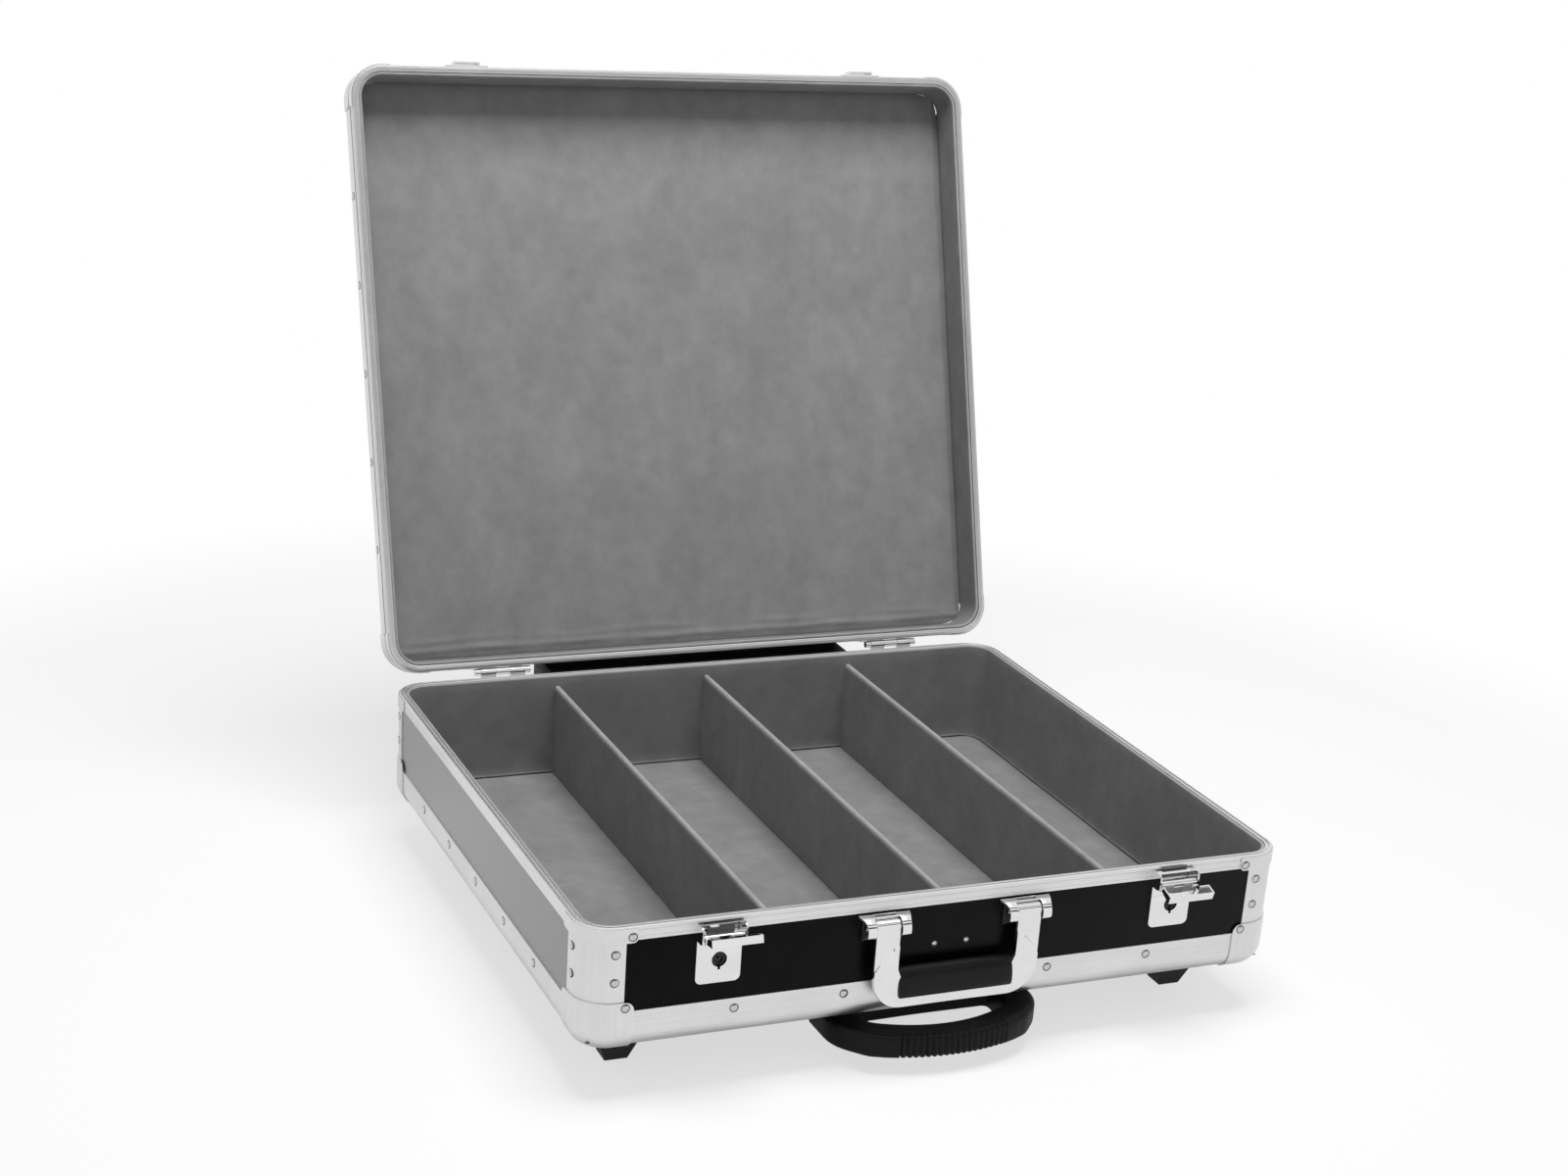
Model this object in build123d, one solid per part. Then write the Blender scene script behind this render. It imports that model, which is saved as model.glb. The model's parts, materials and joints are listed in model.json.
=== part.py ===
from build123d import *
import math
import os

# Trolley case for discs: a shallow black box with aluminium edges, an open lid that leans
# back on its rear wheel housing, four felt compartments, two lever latches, a carry handle
# and a pull-out trolley handle under the floor. Millimetres, +Z up, front towards -Y.
# The pieces are drawn round the centre of the base's rim plane, then moved as one, so that
# the origin lies on the floor under the middle of the whole opened case.

# Box
case_width = 612.0
case_depth = 549.0
base_height = 105.0
lid_height = 45.0
corner_radius = 29.0
edge_radius = 19.0
skin = 1.2
panel_thickness = 4.8
liner_thickness = 3.0
base_edge_leg = 35.0
lid_line = 2.0
corner_wrap = 5.0

# Rims
rim_height = 11.2
rim_web = 1.5
rim_groove_inset = 2.2
rim_groove_width = 1.8
rim_groove_depth = 0.8
rim_tongue_width = 1.0
rim_tongue_height = 0.6
lid_gap = 0.3
clamp_reach = 43.0
clamp_drop = 13.0
clamp_skin = 1.0

# Corner caps
cap_reach = 42.0
cap_height = 43.0
lid_cap_reach = 37.0

# Compartments
divider_count = 3
divider_thickness = 5.0
divider_drop = 10.4

# Feet
foot_height = 41.0
foot_width = 32.0
foot_tip_width = 19.0
foot_taper_height = 18.0
foot_inset_x = 54.0
foot_inset_y = 74.5

# Lid hinges
hinge_setback = 4.2
hinge_rise = 3.6
lid_open_angle = 107.6
hinge_inset = 106.0
knuckle_radius = 3.5
knuckle_length = 14.2
knuckle_gap = 0.3
hinge_pin_radius = 1.5
hinge_pin_head = 5.5
hinge_leaf_width = 57.0
base_leaf_height = 24.0
lid_leaf_height = 18.0
hinge_leaf_thickness = 1.5
running_clearance = 0.06

# Latches
latch_inset = 108.0
latch_width = 36.6
latch_top = 2.0
latch_bottom = 54.0
latch_plate_top = 26.0
latch_plate_thickness = 1.5
latch_plate_raise = 1.3
latch_corner = 5.0
cheek_thickness = 1.4
cheek_reach = 12.0
cheek_drop = 17.5
cheek_corner = 4.0
latch_bar_gap = 1.2
latch_bar_thickness = 1.6
latch_bar_height = 2.0
lever_pivot_out = 9.0
lever_pivot_drop = 12.5
lever_barrel = 3.0
lever_pin_radius = 1.0
lever_reach = 18.0
lever_floor = 5.0
lever_wall = 1.4
lever_lip = 6.0
lever_tab = 9.0
lever_tab_start = 7.5
lever_side_gap = 0.5
lever_open_left = 18.0
lever_open_right = -17.0
lever_closed = -85.0
bolt_width = 22.0
bolt_thickness = 1.0
bolt_out = 1.9
bolt_top = 4.0
bolt_length = 9.0
bolt_travel = 10.4
keeper_width = 40.0
keeper_height = 9.0
keeper_wall = 1.2
keeper_clearance = 0.4
lock_drop = 34.0
lock_hole_radius = 6.2
lock_clearance = 0.4
lock_pin_radius = 0.9
lock_rim = 2.0
key_notch_width = 2.2
key_notch_depth = 2.2
lever_key_hole = 3.6
lever_key_hole_y = 13.0
lever_slot_width = 9.0
lever_corner = 1.3
lever_ramp_rise = 3.4
lever_ramp_start = 2.2

# Carry handle
bracket_x = 61.6
bracket_width = 44.0
bracket_front_width = 37.0
bracket_top = 12.5
bracket_plate = 2.0
bracket_cheek_drop = 35.0
bracket_reach = 15.5
bracket_shoulder = 6.0
bracket_slot_width = 18.0
bracket_slot_near = 2.2
bracket_slot_far = 5.2
bracket_arm_mouth = 6.5
bracket_lobe_out = 13.5
bracket_lobe_radius = 9.0
bracket_lobe_step = 12.0
bracket_lobe_back = 2.0
handle_pivot_out = 8.0
handle_pivot_drop = 20.0
handle_barrel = 5.2
handle_pin_radius = 2.4
arm_width = 20.6
arm_thickness = 3.6
arm_side_gap = 0.4
handle_length = 70.0
handle_corner = 26.0
handle_window_corner = 4.0
handle_band = 9.0
handle_grip_top = 56.0
handle_grip_back = 3.0
handle_grip_front = 16.5
handle_grip_belly = 9.0
handle_grip_slope = 5.0
handle_grip_corner = 2.5

# Trolley handle
tube_x = 72.0
tube_drop = 15.0
outer_tube_width = 26.0
outer_tube_height = 16.0
tube_corner = 3.0
tube_wall = 1.5
tube_clearance = 0.35
tube_front_gap = 2.0
tube_back_inset = 24.5
tube_overlap = 72.0
saddle_width = 38.0
saddle_length = 24.0
saddle_floor = 3.0
saddle_inset = 104.5
grip_thickness = 20.0
grip_drop = 17.0
grip_width = 185.0
grip_reach = 28.5
grip_length = 89.0
grip_side_set = 41.0
grip_shoulder_x = 70.0
grip_shoulder_set = 15.0
grip_edge = 4.0
grip_shoulder_corner = 16.0
slot_half_width = 52.0
slot_front_set = 26.0
slot_side_set = 41.0
slot_back_set = 70.0
slot_corner = 5.0
rib_count = 19
rib_span = 88.0
rib_radius = 1.3
tube_socket = 14.0

# Wheel housing
housing_gap = 14.5
housing_depth = 42.0
housing_top = 0.6
housing_end_chamfer = 5.0
housing_wall = 3.0
housing_sill = 24.0
housing_back_corner = 6.0
wheel_radius = 26.0
wheel_width = 22.0
wheel_axle_out = 29.0
wheel_axle_below = 7.0
wheel_side_gap = 2.0
wheel_well_gap = 3.0
axle_radius = 4.0
axle_seat = 12.0
axle_head_radius = 8.0
axle_head = 2.0
wheel_groove_radius = 18.0
wheel_groove_depth = 3.0
wheel_corner = 3.0
wheel_hub_radius = 10.0

# Rivets
rivet_radius = 3.2
rivet_dome = 1.2
front_rivet_shares = (0.294, 0.595)
back_rivet_shares = (0.294, 0.8)
side_rivet_share = 0.146
side_rivet_count = 5
rivet_from_leg = 8.5
corner_rivet_drops = (22.0, 45.0)
corner_rivet_inset = 3.0
clamp_rivet_inset = 38.5
clamp_rivet_drop = 8.0
cap_rivet_drop = 66.5
cap_rivet_inset = 35.0
panel_rivet_x = 14.0
panel_rivet_drop = 45.4
panel_rivet_radius = 2.2

# Worked out from the sizes above
wall = skin + panel_thickness
lining = wall + liner_thickness
half_width = case_width / 2
half_depth = case_depth / 2
floor_drop = base_height + foot_height
lid_edge_leg = lid_height - lid_gap - rim_height - lid_line
handle_drop = handle_pivot_drop + handle_length
housing_bottom = base_height + tube_drop + outer_tube_height / 2
wheel_axle_drop = base_height + wheel_axle_below
hinge_y = half_depth + hinge_setback
hinge_axis = Axis((0, hinge_y, hinge_rise), (1, 0, 0))
front = -half_depth
lever_swing = lever_open_left - lever_closed
foot_x = half_width - foot_inset_x
foot_y = half_depth - foot_inset_y
hinge_x = half_width - hinge_inset
latch_x = half_width - latch_inset
housing_width = 2 * (hinge_x - hinge_leaf_width / 2 - housing_gap)
grip_front = half_depth + grip_reach
grip_back = grip_front - grip_length
grip_side_front = grip_front - grip_side_set
grip_shoulder_front = grip_front - grip_shoulder_set
slot_front = grip_front - slot_front_set
slot_side_front = grip_front - slot_side_set
slot_back = grip_front - slot_back_set
outer_tube_front = grip_back - tube_front_gap
inner_tube_back = half_depth - tube_back_inset
saddle_y = half_depth - saddle_inset
trolley_travel = inner_tube_back + outer_tube_front - tube_overlap
tube_z = -base_height - tube_drop
grip_z = -base_height - grip_drop

parts = {}


def block(low, high):
    """A box from its lowest corner to its highest corner."""
    size = [high[i] - low[i] for i in range(3)]
    centre = [(high[i] + low[i]) / 2 for i in range(3)]
    return Pos(*centre) * Box(*size)


def slab(inset, bottom, top):
    """The case's rounded plan, drawn in by inset, between two heights."""
    plan = RectangleRounded(case_width - 2 * inset, case_depth - 2 * inset, corner_radius - inset)
    return Pos(0, 0, bottom) * extrude(plan, top - bottom)


def ring(outer, inner, bottom, top):
    """A band that follows the case's plan, from one inset to a deeper one."""
    return slab(outer, bottom, top) - slab(inner, bottom - 1, top + 1)


def rod(radius, start, end):
    """A round bar between two points."""
    line = Vector(*end) - Vector(*start)
    return extrude(Plane(origin=start, z_dir=line) * Circle(radius), line.length)


def quadrant(sx, sy, reach, bottom, top, spare=5.0):
    """The space over one corner of the plan, from reach inside the corner outwards."""
    xs = sorted((sx * (half_width - reach), sx * (half_width + spare)))
    ys = sorted((sy * (half_depth - reach), sy * (half_depth + spare)))
    return block((xs[0], ys[0], bottom), (xs[1], ys[1], top))


def corners():
    """Name and signs of each corner of the plan."""
    return {
        "front_left": (-1, -1),
        "front_right": (1, -1),
        "back_left": (-1, 1),
        "back_right": (1, 1),
    }


def sides():
    """Turn from the front, distance to the outer face and straight run of each side."""
    across = case_width - 2 * corner_radius
    along = case_depth - 2 * corner_radius
    return {
        "front": (0, half_depth, across),
        "back": (180, half_depth, across),
        "left": (-90, half_width, along),
        "right": (90, half_width, along),
    }


def base_envelope(grow=0.0):
    """Outer form of the base with its rounded lower edges."""
    body = slab(-grow, -base_height - grow, 0)
    return fillet(body.edges().group_by(Axis.Z)[0], edge_radius + grow)


def lid_envelope(grow=0.0):
    """Outer form of the closed lid with its rounded upper edges."""
    body = slab(-grow, lid_gap, lid_height + grow)
    return fillet(body.edges().group_by(Axis.Z)[-1], edge_radius + grow)


def edge_section(leg):
    """Edge extrusion: a rounded corner with a seat for both boards and thin legs over them."""
    thin = Pos(leg / 2, corner_radius / 2) * Rectangle(leg, corner_radius)
    thin -= Pos(skin + leg / 2, skin + corner_radius / 2) * Rectangle(leg, corner_radius)
    seat = Pos(edge_radius / 2, edge_radius / 2) * Rectangle(edge_radius, edge_radius)
    seat -= Pos(wall + edge_radius / 2, wall + edge_radius / 2) * Rectangle(edge_radius, edge_radius)
    section = (thin + seat).face()
    return fillet(section.vertices().sort_by_distance((0, 0, 0))[0], edge_radius)


def edge_bar(distance, run, leg, height, up):
    """A straight edge extrusion at the front; its long leg runs up (+1) or down (-1)."""
    z_dir = (up, 0, 0)
    start = (-up * run / 2, -distance, height)
    plane = Plane(origin=start, x_dir=(0, 0, up), z_dir=z_dir)
    bar = extrude(plane * edge_section(leg), run)
    if bar.bounding_box().max.Y < -distance + 1:
        bar = extrude(plane * mirror(edge_section(leg), Plane.XZ), run)
    return bar


def board(distance, run, bottom, top):
    """A wall board at the front, behind the thin skins."""
    return block((-run / 2, -distance + skin, bottom), (run / 2, -distance + wall, top))


def rivet(point, normal, radius=rivet_radius):
    """A low domed rivet head that stands on a surface."""
    sphere_radius = (radius ** 2 + rivet_dome ** 2) / (2 * rivet_dome)
    disc = Plane(origin=point, z_dir=normal)
    head = disc * Pos(0, 0, rivet_dome - sphere_radius) * Sphere(sphere_radius)
    keep = disc * Pos(0, 0, sphere_radius) * Box(4 * radius, 4 * radius, 2 * sphere_radius)
    return head & keep


def group(shapes):
    """Separate solids kept together in one node."""
    solids = []
    for shape in shapes:
        solids += shape.solids()
    return Compound(children=solids)


def make_base_walls():
    for name, (turn, distance, run) in sides().items():
        spot = Rot(0, 0, turn)
        panel = board(distance, run, -base_height + edge_radius, -rim_web)
        parts[f"base_{name}_panel"] = spot * panel
        parts[f"base_edge_{name}"] = spot * edge_bar(distance, run, base_edge_leg, -base_height, 1)
    floor_x = half_width - edge_radius
    floor_y = half_depth - edge_radius
    floor_low = -base_height + skin
    floor = block((-floor_x, -floor_y, floor_low), (floor_x, floor_y, floor_low + panel_thickness))
    for sx, sy in corners().values():
        floor -= quadrant(sx, sy, corner_radius, -base_height, 0)
    parts["base_bottom_panel"] = floor


def make_base_corners(rim):
    hull = base_envelope()
    cavity = slab(wall, -base_height + wall, 1)
    cap_shell = base_envelope(skin) - hull
    cap_top = -base_height + cap_height
    caps = []
    for name, (sx, sy) in corners().items():
        profile = (hull & quadrant(sx, sy, corner_radius, -base_height - 1, -rim_web)) - cavity
        flanges = ring(0, skin, -base_height + base_edge_leg, -rim_height)
        flanges = flanges & quadrant(sx, sy, corner_radius + corner_wrap, -base_height, 0)
        parts[f"base_corner_profile_{name}"] = (profile + flanges) - rim
        caps.append(cap_shell & quadrant(sx, sy, cap_reach, -base_height - 5, cap_top))
    parts["base_corner_caps"] = group(caps)


def make_rim(plane_z, up):
    """Rim channel whose outer face is plane_z; the skirt runs up (+1) or down (-1)."""
    heights = sorted((plane_z, plane_z + up * rim_web))
    skirt = sorted((plane_z, plane_z + up * rim_height))
    return ring(0, wall, *heights) + ring(0, skin, *skirt)


def make_base_rim():
    rim = make_rim(0, -1)
    groove_end = rim_groove_inset + rim_groove_width
    rim -= ring(rim_groove_inset, groove_end, -rim_groove_depth, 1)
    parts["base_rim"] = rim
    clamps = []
    for sx, sy in corners().values():
        wrap = ring(-clamp_skin, 0, -clamp_drop, -rim_web)
        clamps.append(wrap & quadrant(sx, sy, clamp_reach, -clamp_drop, 0))
    parts["base_rim_clamps"] = group(clamps)
    return rim


def make_base_lining():
    floor_low = -base_height + wall
    floor_top = floor_low + liner_thickness
    parts["base_liner_floor"] = slab(wall, floor_low, floor_top)
    parts["base_liner_walls"] = ring(wall, lining, floor_top, -rim_web / 2)
    inner_width = case_width - 2 * lining
    clear = (inner_width - divider_count * divider_thickness) / (divider_count + 1)
    half = half_depth - lining
    for number in range(divider_count):
        left = -inner_width / 2 + clear + number * (clear + divider_thickness)
        low = (left, -half, floor_top)
        high = (left + divider_thickness, half, -divider_drop)
        parts[f"divider_{number + 1}"] = block(low, high)


def make_feet():
    tip = -floor_drop
    shoulder = tip + foot_taper_height
    half = foot_width / 2
    upper = block((-half, -half, shoulder), (half, half, -base_height + skin))
    taper = loft([
        Plane.XY.offset(tip) * Rectangle(foot_tip_width, foot_tip_width),
        Plane.XY.offset(shoulder) * Rectangle(foot_width, foot_width),
    ])
    foot = upper + taper
    parts["feet"] = group([Pos(sx * foot_x, sy * foot_y, 0) * foot for sx, sy in corners().values()])


def make_lid():
    lid = {}
    across = case_width - 2 * edge_radius
    along = case_depth - 2 * edge_radius
    top_high = lid_height - skin
    top = block((-across / 2, -along / 2, top_high - panel_thickness), (across / 2, along / 2, top_high))
    cavity = slab(wall, lid_gap - 1, lid_height - wall)
    hull = lid_envelope()
    edges = []
    boards = []
    for turn, distance, run in sides().values():
        spot = Rot(0, 0, turn)
        edges.append(spot * edge_bar(distance, run, lid_edge_leg, lid_height, -1))
        boards.append(spot * board(distance, run, lid_gap + rim_web, lid_height - edge_radius))
    rim = make_rim(lid_gap, 1)
    tongue_inset = rim_groove_inset + (rim_groove_width - rim_tongue_width) / 2
    tongue = ring(tongue_inset, tongue_inset + rim_tongue_width, lid_gap - rim_tongue_height, lid_gap)
    caps = []
    clamps = []
    cap_low = lid_height - lid_edge_leg
    shell = lid_envelope(skin) - hull
    for sx, sy in corners().values():
        top -= quadrant(sx, sy, corner_radius, 0, lid_height + 5)
        cap = (hull & quadrant(sx, sy, corner_radius, lid_gap + rim_web, lid_height + 5)) - cavity - rim
        cap += shell & quadrant(sx, sy, lid_cap_reach, cap_low, lid_height + 5)
        caps.append(cap)
        wrap = ring(-clamp_skin, 0, lid_gap + rim_web, lid_gap + rim_height)
        clamps.append(wrap & quadrant(sx, sy, lid_cap_reach, 0, lid_height))
    lid["lid_top_panel"] = top
    lid["lid_edge_profiles"] = group(edges)
    lid["lid_side_boards"] = group(boards)
    lid["lid_rim"] = rim + tongue
    lid["lid_corner_fittings"] = group(caps + clamps)
    liner = slab(wall, lid_gap + rim_web / 2, lid_height - wall)
    lid["lid_liner"] = liner - slab(lining, 0, lid_height - lining)
    return lid


def hinge_rod(radius, start_x, end_x):
    """A round bar on the lid's hinge line between two places along it."""
    return rod(radius, (start_x, hinge_y, hinge_rise), (end_x, hinge_y, hinge_rise))


def make_hinges(lid):
    """Butt hinges: the base holds the two outer knuckles and the pin, the lid the middle one."""
    low = -1.0 - base_leaf_height
    span = 3 * knuckle_length
    pins = []
    for side, sx in (("left", -1), ("right", 1)):
        middle = sx * hinge_x
        edge = middle - span / 2
        knuckles = []
        for number in range(3):
            x0 = edge + number * knuckle_length + knuckle_gap / 2
            x1 = x0 + knuckle_length - knuckle_gap
            barrel = hinge_rod(knuckle_radius, x0, x1)
            if number == 1:
                neck_top = hinge_rise + knuckle_radius + 1
                neck = block((x0, half_depth, hinge_rise), (x1, half_depth + hinge_leaf_thickness, neck_top))
                lid_knuckle = barrel + neck
            else:
                neck = block((x0, half_depth + 0.5, -2), (x1, hinge_y, hinge_rise))
                knuckles.append(barrel + neck)
        half = hinge_leaf_width / 2
        leaf_back = half_depth + hinge_leaf_thickness
        leaf = block((middle - half, half_depth, low), (middle + half, leaf_back, -1.0))
        for knuckle in knuckles:
            leaf += knuckle
        parts[f"hinge_base_leaf_{side}"] = leaf - hinge_rod(hinge_pin_radius, edge, edge + span)
        lid_low = hinge_rise + knuckle_radius + 0.6
        lid_high = lid_low + lid_leaf_height
        lid_leaf = block((middle - half, half_depth, lid_low), (middle + half, leaf_back, lid_high))
        bore = hinge_rod(hinge_pin_radius + running_clearance, edge, edge + span)
        lid[f"hinge_lid_leaf_{side}"] = lid_leaf + lid_knuckle - bore
        pin = hinge_rod(hinge_pin_radius, edge, edge + span)
        for x0, x1 in ((edge - hinge_pin_head, edge), (edge + span, edge + span + hinge_pin_head)):
            pin += hinge_rod(knuckle_radius - 0.4, x0, x1)
        pins.append(pin)
    parts["hinge_pins"] = group(pins)


def latch_plate():
    """Latch body at x = 0: lower key plate, back plate over the rim, two cheeks and a top bar."""
    half = latch_width / 2
    thick = latch_plate_thickness
    outline = Rectangle(latch_width, latch_bottom - latch_plate_top)
    face_plane = Plane(origin=(0, front + skin, 0), x_dir=(1, 0, 0), z_dir=(0, -1, 0))
    low_corners = outline.vertices().group_by(Axis.Y)[0]
    outline = fillet(low_corners, latch_corner)
    centre = -(latch_plate_top + latch_bottom) / 2
    plate = extrude(face_plane * Pos(0, centre) * outline, skin + thick)
    raised = extrude(face_plane * Pos(0, centre) * outline, skin + thick + latch_plate_raise)
    top_edges = raised.faces().sort_by(Axis.Y)[0].edges()
    raised = chamfer(top_edges, latch_plate_raise, 3 * latch_plate_raise)
    plate = plate + raised
    back = block((-half, front - thick, -rim_height), (half, front, -latch_top))
    back += block((-half, front - thick, -latch_plate_top - 1), (half, front + skin, -rim_height))
    plate += back
    for sign in (-1, 1):
        xs = sorted((sign * half, sign * (half - cheek_thickness)))
        cheek = block((xs[0], front - cheek_reach, -cheek_drop), (xs[1], front - thick, -latch_top - 1))
        rounded = cheek.edges().filter_by(Axis.X).group_by(Axis.Y)[0]
        plate += fillet(rounded, cheek_corner)
    bar_back = front - bolt_out - bolt_thickness - latch_bar_gap
    bar_low = -latch_top - 1 - latch_bar_height
    plate += block((-half, bar_back - latch_bar_thickness, bar_low), (half, bar_back, -latch_top - 1))
    ahead = front - cheek_reach
    plate -= rod(lock_hole_radius, (0, front + skin, -lock_drop), (0, ahead, -lock_drop))
    notch = key_notch_width / 2
    notch_low = -lock_drop - lock_hole_radius - key_notch_depth
    plate -= block((-notch, ahead, notch_low), (notch, front + skin, -lock_drop))
    pin_y = front - lever_pivot_out
    pin = (pin_y, -lever_pivot_drop)
    plate += rod(lever_pin_radius, (-half, *pin), (half, *pin))
    return plate


def latch_lever(angle):
    """Lever tray at x = 0 with its tab to the right, turned up by angle from level."""
    half = latch_width / 2 - cheek_thickness - lever_side_gap
    py = front - lever_pivot_out
    pz = -lever_pivot_drop
    end = py - lever_reach
    tray_low = pz - lever_floor
    barrel = rod(lever_barrel, (-half, py, pz), (half, py, pz))
    web = block((-half, py - lever_barrel, tray_low), (half, py - lever_barrel + lever_wall, pz))
    floor = block((-half, end, tray_low), (half, py - 1.6, tray_low + lever_wall))
    tab_x = half + lever_tab
    tab_y = py - lever_tab_start
    floor += block((half - 1, end, tray_low), (tab_x, tab_y, tray_low + lever_wall))
    wall_top = tray_low + lever_lip
    lip = block((-half, end, tray_low), (tab_x, end + lever_wall, wall_top))
    left_wall = block((-half, end, tray_low), (-half + lever_wall, py - 4, wall_top))
    right_wall = block((tab_x - lever_wall, end, tray_low), (tab_x, tab_y, wall_top))
    tab_wall = block((half - 0.2, tab_y - lever_wall, tray_low), (tab_x, tab_y, wall_top))
    lever = barrel + web + floor + lip + left_wall + right_wall + tab_wall
    ramp = Plane(
        origin=(-half - 1, py - lever_barrel, tray_low + lever_ramp_start),
        x_dir=(0, -1, 0),
        z_dir=(1, 0, 0),
    )
    ramp_face = ramp * Polygon((0, 0), (lever_reach, lever_ramp_rise), (0, 2 * lever_reach), align=None)
    lever -= extrude(ramp_face, 1 + 2 * lever_wall, dir=(1, 0, 0))
    outer = lever.edges().filter_by(Axis.Z).group_by(Axis.Y)[0]
    lever = fillet(outer, lever_corner)
    key_y = py - lever_key_hole_y
    lever -= rod(lever_key_hole, (0, key_y, tray_low - 5), (0, key_y, wall_top + 5))
    slot = lever_slot_width / 2
    lever -= block((-slot, py - lever_slot_width, pz - lever_barrel - 0.2), (slot, py - 1.4, pz + 1.2))
    bore = lever_pin_radius + running_clearance
    lever -= rod(bore, (-half - 1, py, pz), (half + 1, py, pz))
    return lever.rotate(Axis((0, py, pz), (1, 0, 0)), -angle)


def latch_bolt(lift):
    """Flat bolt that rises into the lid's keeper as the lever goes down."""
    top = -bolt_top + lift
    back = front - bolt_out
    return block(
        (-bolt_width / 2, back - bolt_thickness, top - bolt_length),
        (bolt_width / 2, back, top),
    )


def lock_barrel():
    """Round lock insert with a centre pin and a key notch."""
    radius = lock_hole_radius - lock_clearance
    back = front + skin - 0.3
    face = front - latch_plate_thickness
    floor_y = front + 0.3
    barrel = rod(radius, (0, back, -lock_drop), (0, face + 0.5, -lock_drop))
    barrel -= rod(radius - lock_rim, (0, floor_y, -lock_drop), (0, face - 1, -lock_drop))
    notch = key_notch_width / 2 - 0.3
    barrel -= block((-notch, face - 1, -lock_drop - radius - 1), (notch, floor_y, -lock_drop))
    return barrel + rod(lock_pin_radius, (0, floor_y + 0.3, -lock_drop), (0, face, -lock_drop))


def keeper():
    """Box keeper on the front of the lid's rim that the bolt enters from below."""
    half = keeper_width / 2
    low = lid_gap + 0.4
    bolt_half = bolt_width / 2 + keeper_clearance
    inner = bolt_out + bolt_thickness + keeper_clearance
    plate = block((-half, front - keeper_wall, low), (half, front, low + keeper_height))
    box_half = bolt_half + keeper_wall
    plate += block((-box_half, front - inner - keeper_wall, low), (box_half, front, low + keeper_height))
    pocket_top = low + keeper_height - keeper_wall
    return plate - block((-bolt_half, front - inner, low - 1), (bolt_half, front - keeper_wall, pocket_top))


def make_latches(lid):
    per_degree = bolt_travel / lever_swing
    for side, sx, angle in (("left", -1, lever_open_left), ("right", 1, lever_open_right)):
        spot = Pos(sx * latch_x, 0, 0)
        parts[f"latch_plate_{side}"] = spot * latch_plate()
        parts[f"latch_lever_{side}"] = spot * latch_lever(angle)
        parts[f"latch_bolt_{side}"] = spot * latch_bolt((lever_open_left - angle) * per_degree)
        parts[f"lock_barrel_{side}"] = spot * lock_barrel()
        lid[f"latch_keeper_{side}"] = spot * keeper()


def handle_bracket():
    """Cast bracket at x = 0: a top plate that narrows forward, with a slot and two lobes."""
    back = front + skin
    reach = front - bracket_reach
    plan = Polygon(
        (-bracket_width / 2, back), (bracket_width / 2, back),
        (bracket_front_width / 2, front - bracket_shoulder), (bracket_front_width / 2, reach),
        (-bracket_front_width / 2, reach), (-bracket_front_width / 2, front - bracket_shoulder),
        align=None,
    )
    low = -bracket_cheek_drop
    body = Pos(0, 0, low) * extrude(plan, bracket_cheek_drop - bracket_top, dir=(0, 0, 1))
    inner = arm_width / 2 + arm_side_gap
    past = bracket_width
    hollow_top = -bracket_top - bracket_plate
    body -= block((-inner, reach - 1, low - 1), (inner, back + 1, hollow_top))
    step_y = reach + bracket_lobe_back
    body -= block((-past, reach - 1, low - 1), (past, step_y, low + bracket_lobe_step))
    lobe_y = front - bracket_lobe_out
    lobe_z = low + bracket_lobe_step / 2 - bracket_lobe_radius - 1
    body -= rod(bracket_lobe_radius, (-past, lobe_y, lobe_z), (past, lobe_y, lobe_z))
    body -= block((-inner, reach - 1, hollow_top - 1), (inner, front - bracket_arm_mouth, -bracket_top + 1))
    slot = bracket_slot_width / 2
    body -= block(
        (-slot, front - bracket_slot_far, hollow_top - 1),
        (slot, front - bracket_slot_near, -bracket_top + 1),
    )
    pin_y = front - handle_pivot_out
    pin_z = -handle_pivot_drop
    return body - rod(handle_pin_radius, (-past, pin_y, pin_z), (past, pin_y, pin_z))


def handle_frame():
    """Bent chrome strap: two arms with barrels at the top and a band under the grip."""
    outer = bracket_x + arm_width / 2
    inner = bracket_x - arm_width / 2
    face = front - handle_pivot_out - handle_barrel
    height = handle_drop - handle_pivot_drop
    centre_z = -(handle_drop + handle_pivot_drop) / 2
    plane = Plane(origin=(0, face, centre_z), x_dir=(1, 0, 0), z_dir=(0, 1, 0))
    outline = Rectangle(2 * outer, height)
    low_corners = outline.vertices().group_by(Axis.Y)[-1]
    outline = fillet(low_corners, handle_corner)
    window_height = height - handle_band
    window = Pos(0, -handle_band / 2) * RectangleRounded(2 * inner, window_height, handle_window_corner)
    window += Pos(0, -height / 2) * Rectangle(2 * inner, 3 * handle_window_corner)
    strap = extrude(plane * (outline - window), arm_thickness)
    pin_y = front - handle_pivot_out
    for sign in (-1, 1):
        x0 = sign * bracket_x - arm_width / 2
        x1 = sign * bracket_x + arm_width / 2
        strap += rod(handle_barrel, (x0, pin_y, -handle_pivot_drop), (x1, pin_y, -handle_pivot_drop))
    bore = handle_pin_radius + running_clearance
    past = outer + 1
    return strap - rod(bore, (-past, pin_y, -handle_pivot_drop), (past, pin_y, -handle_pivot_drop))


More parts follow.
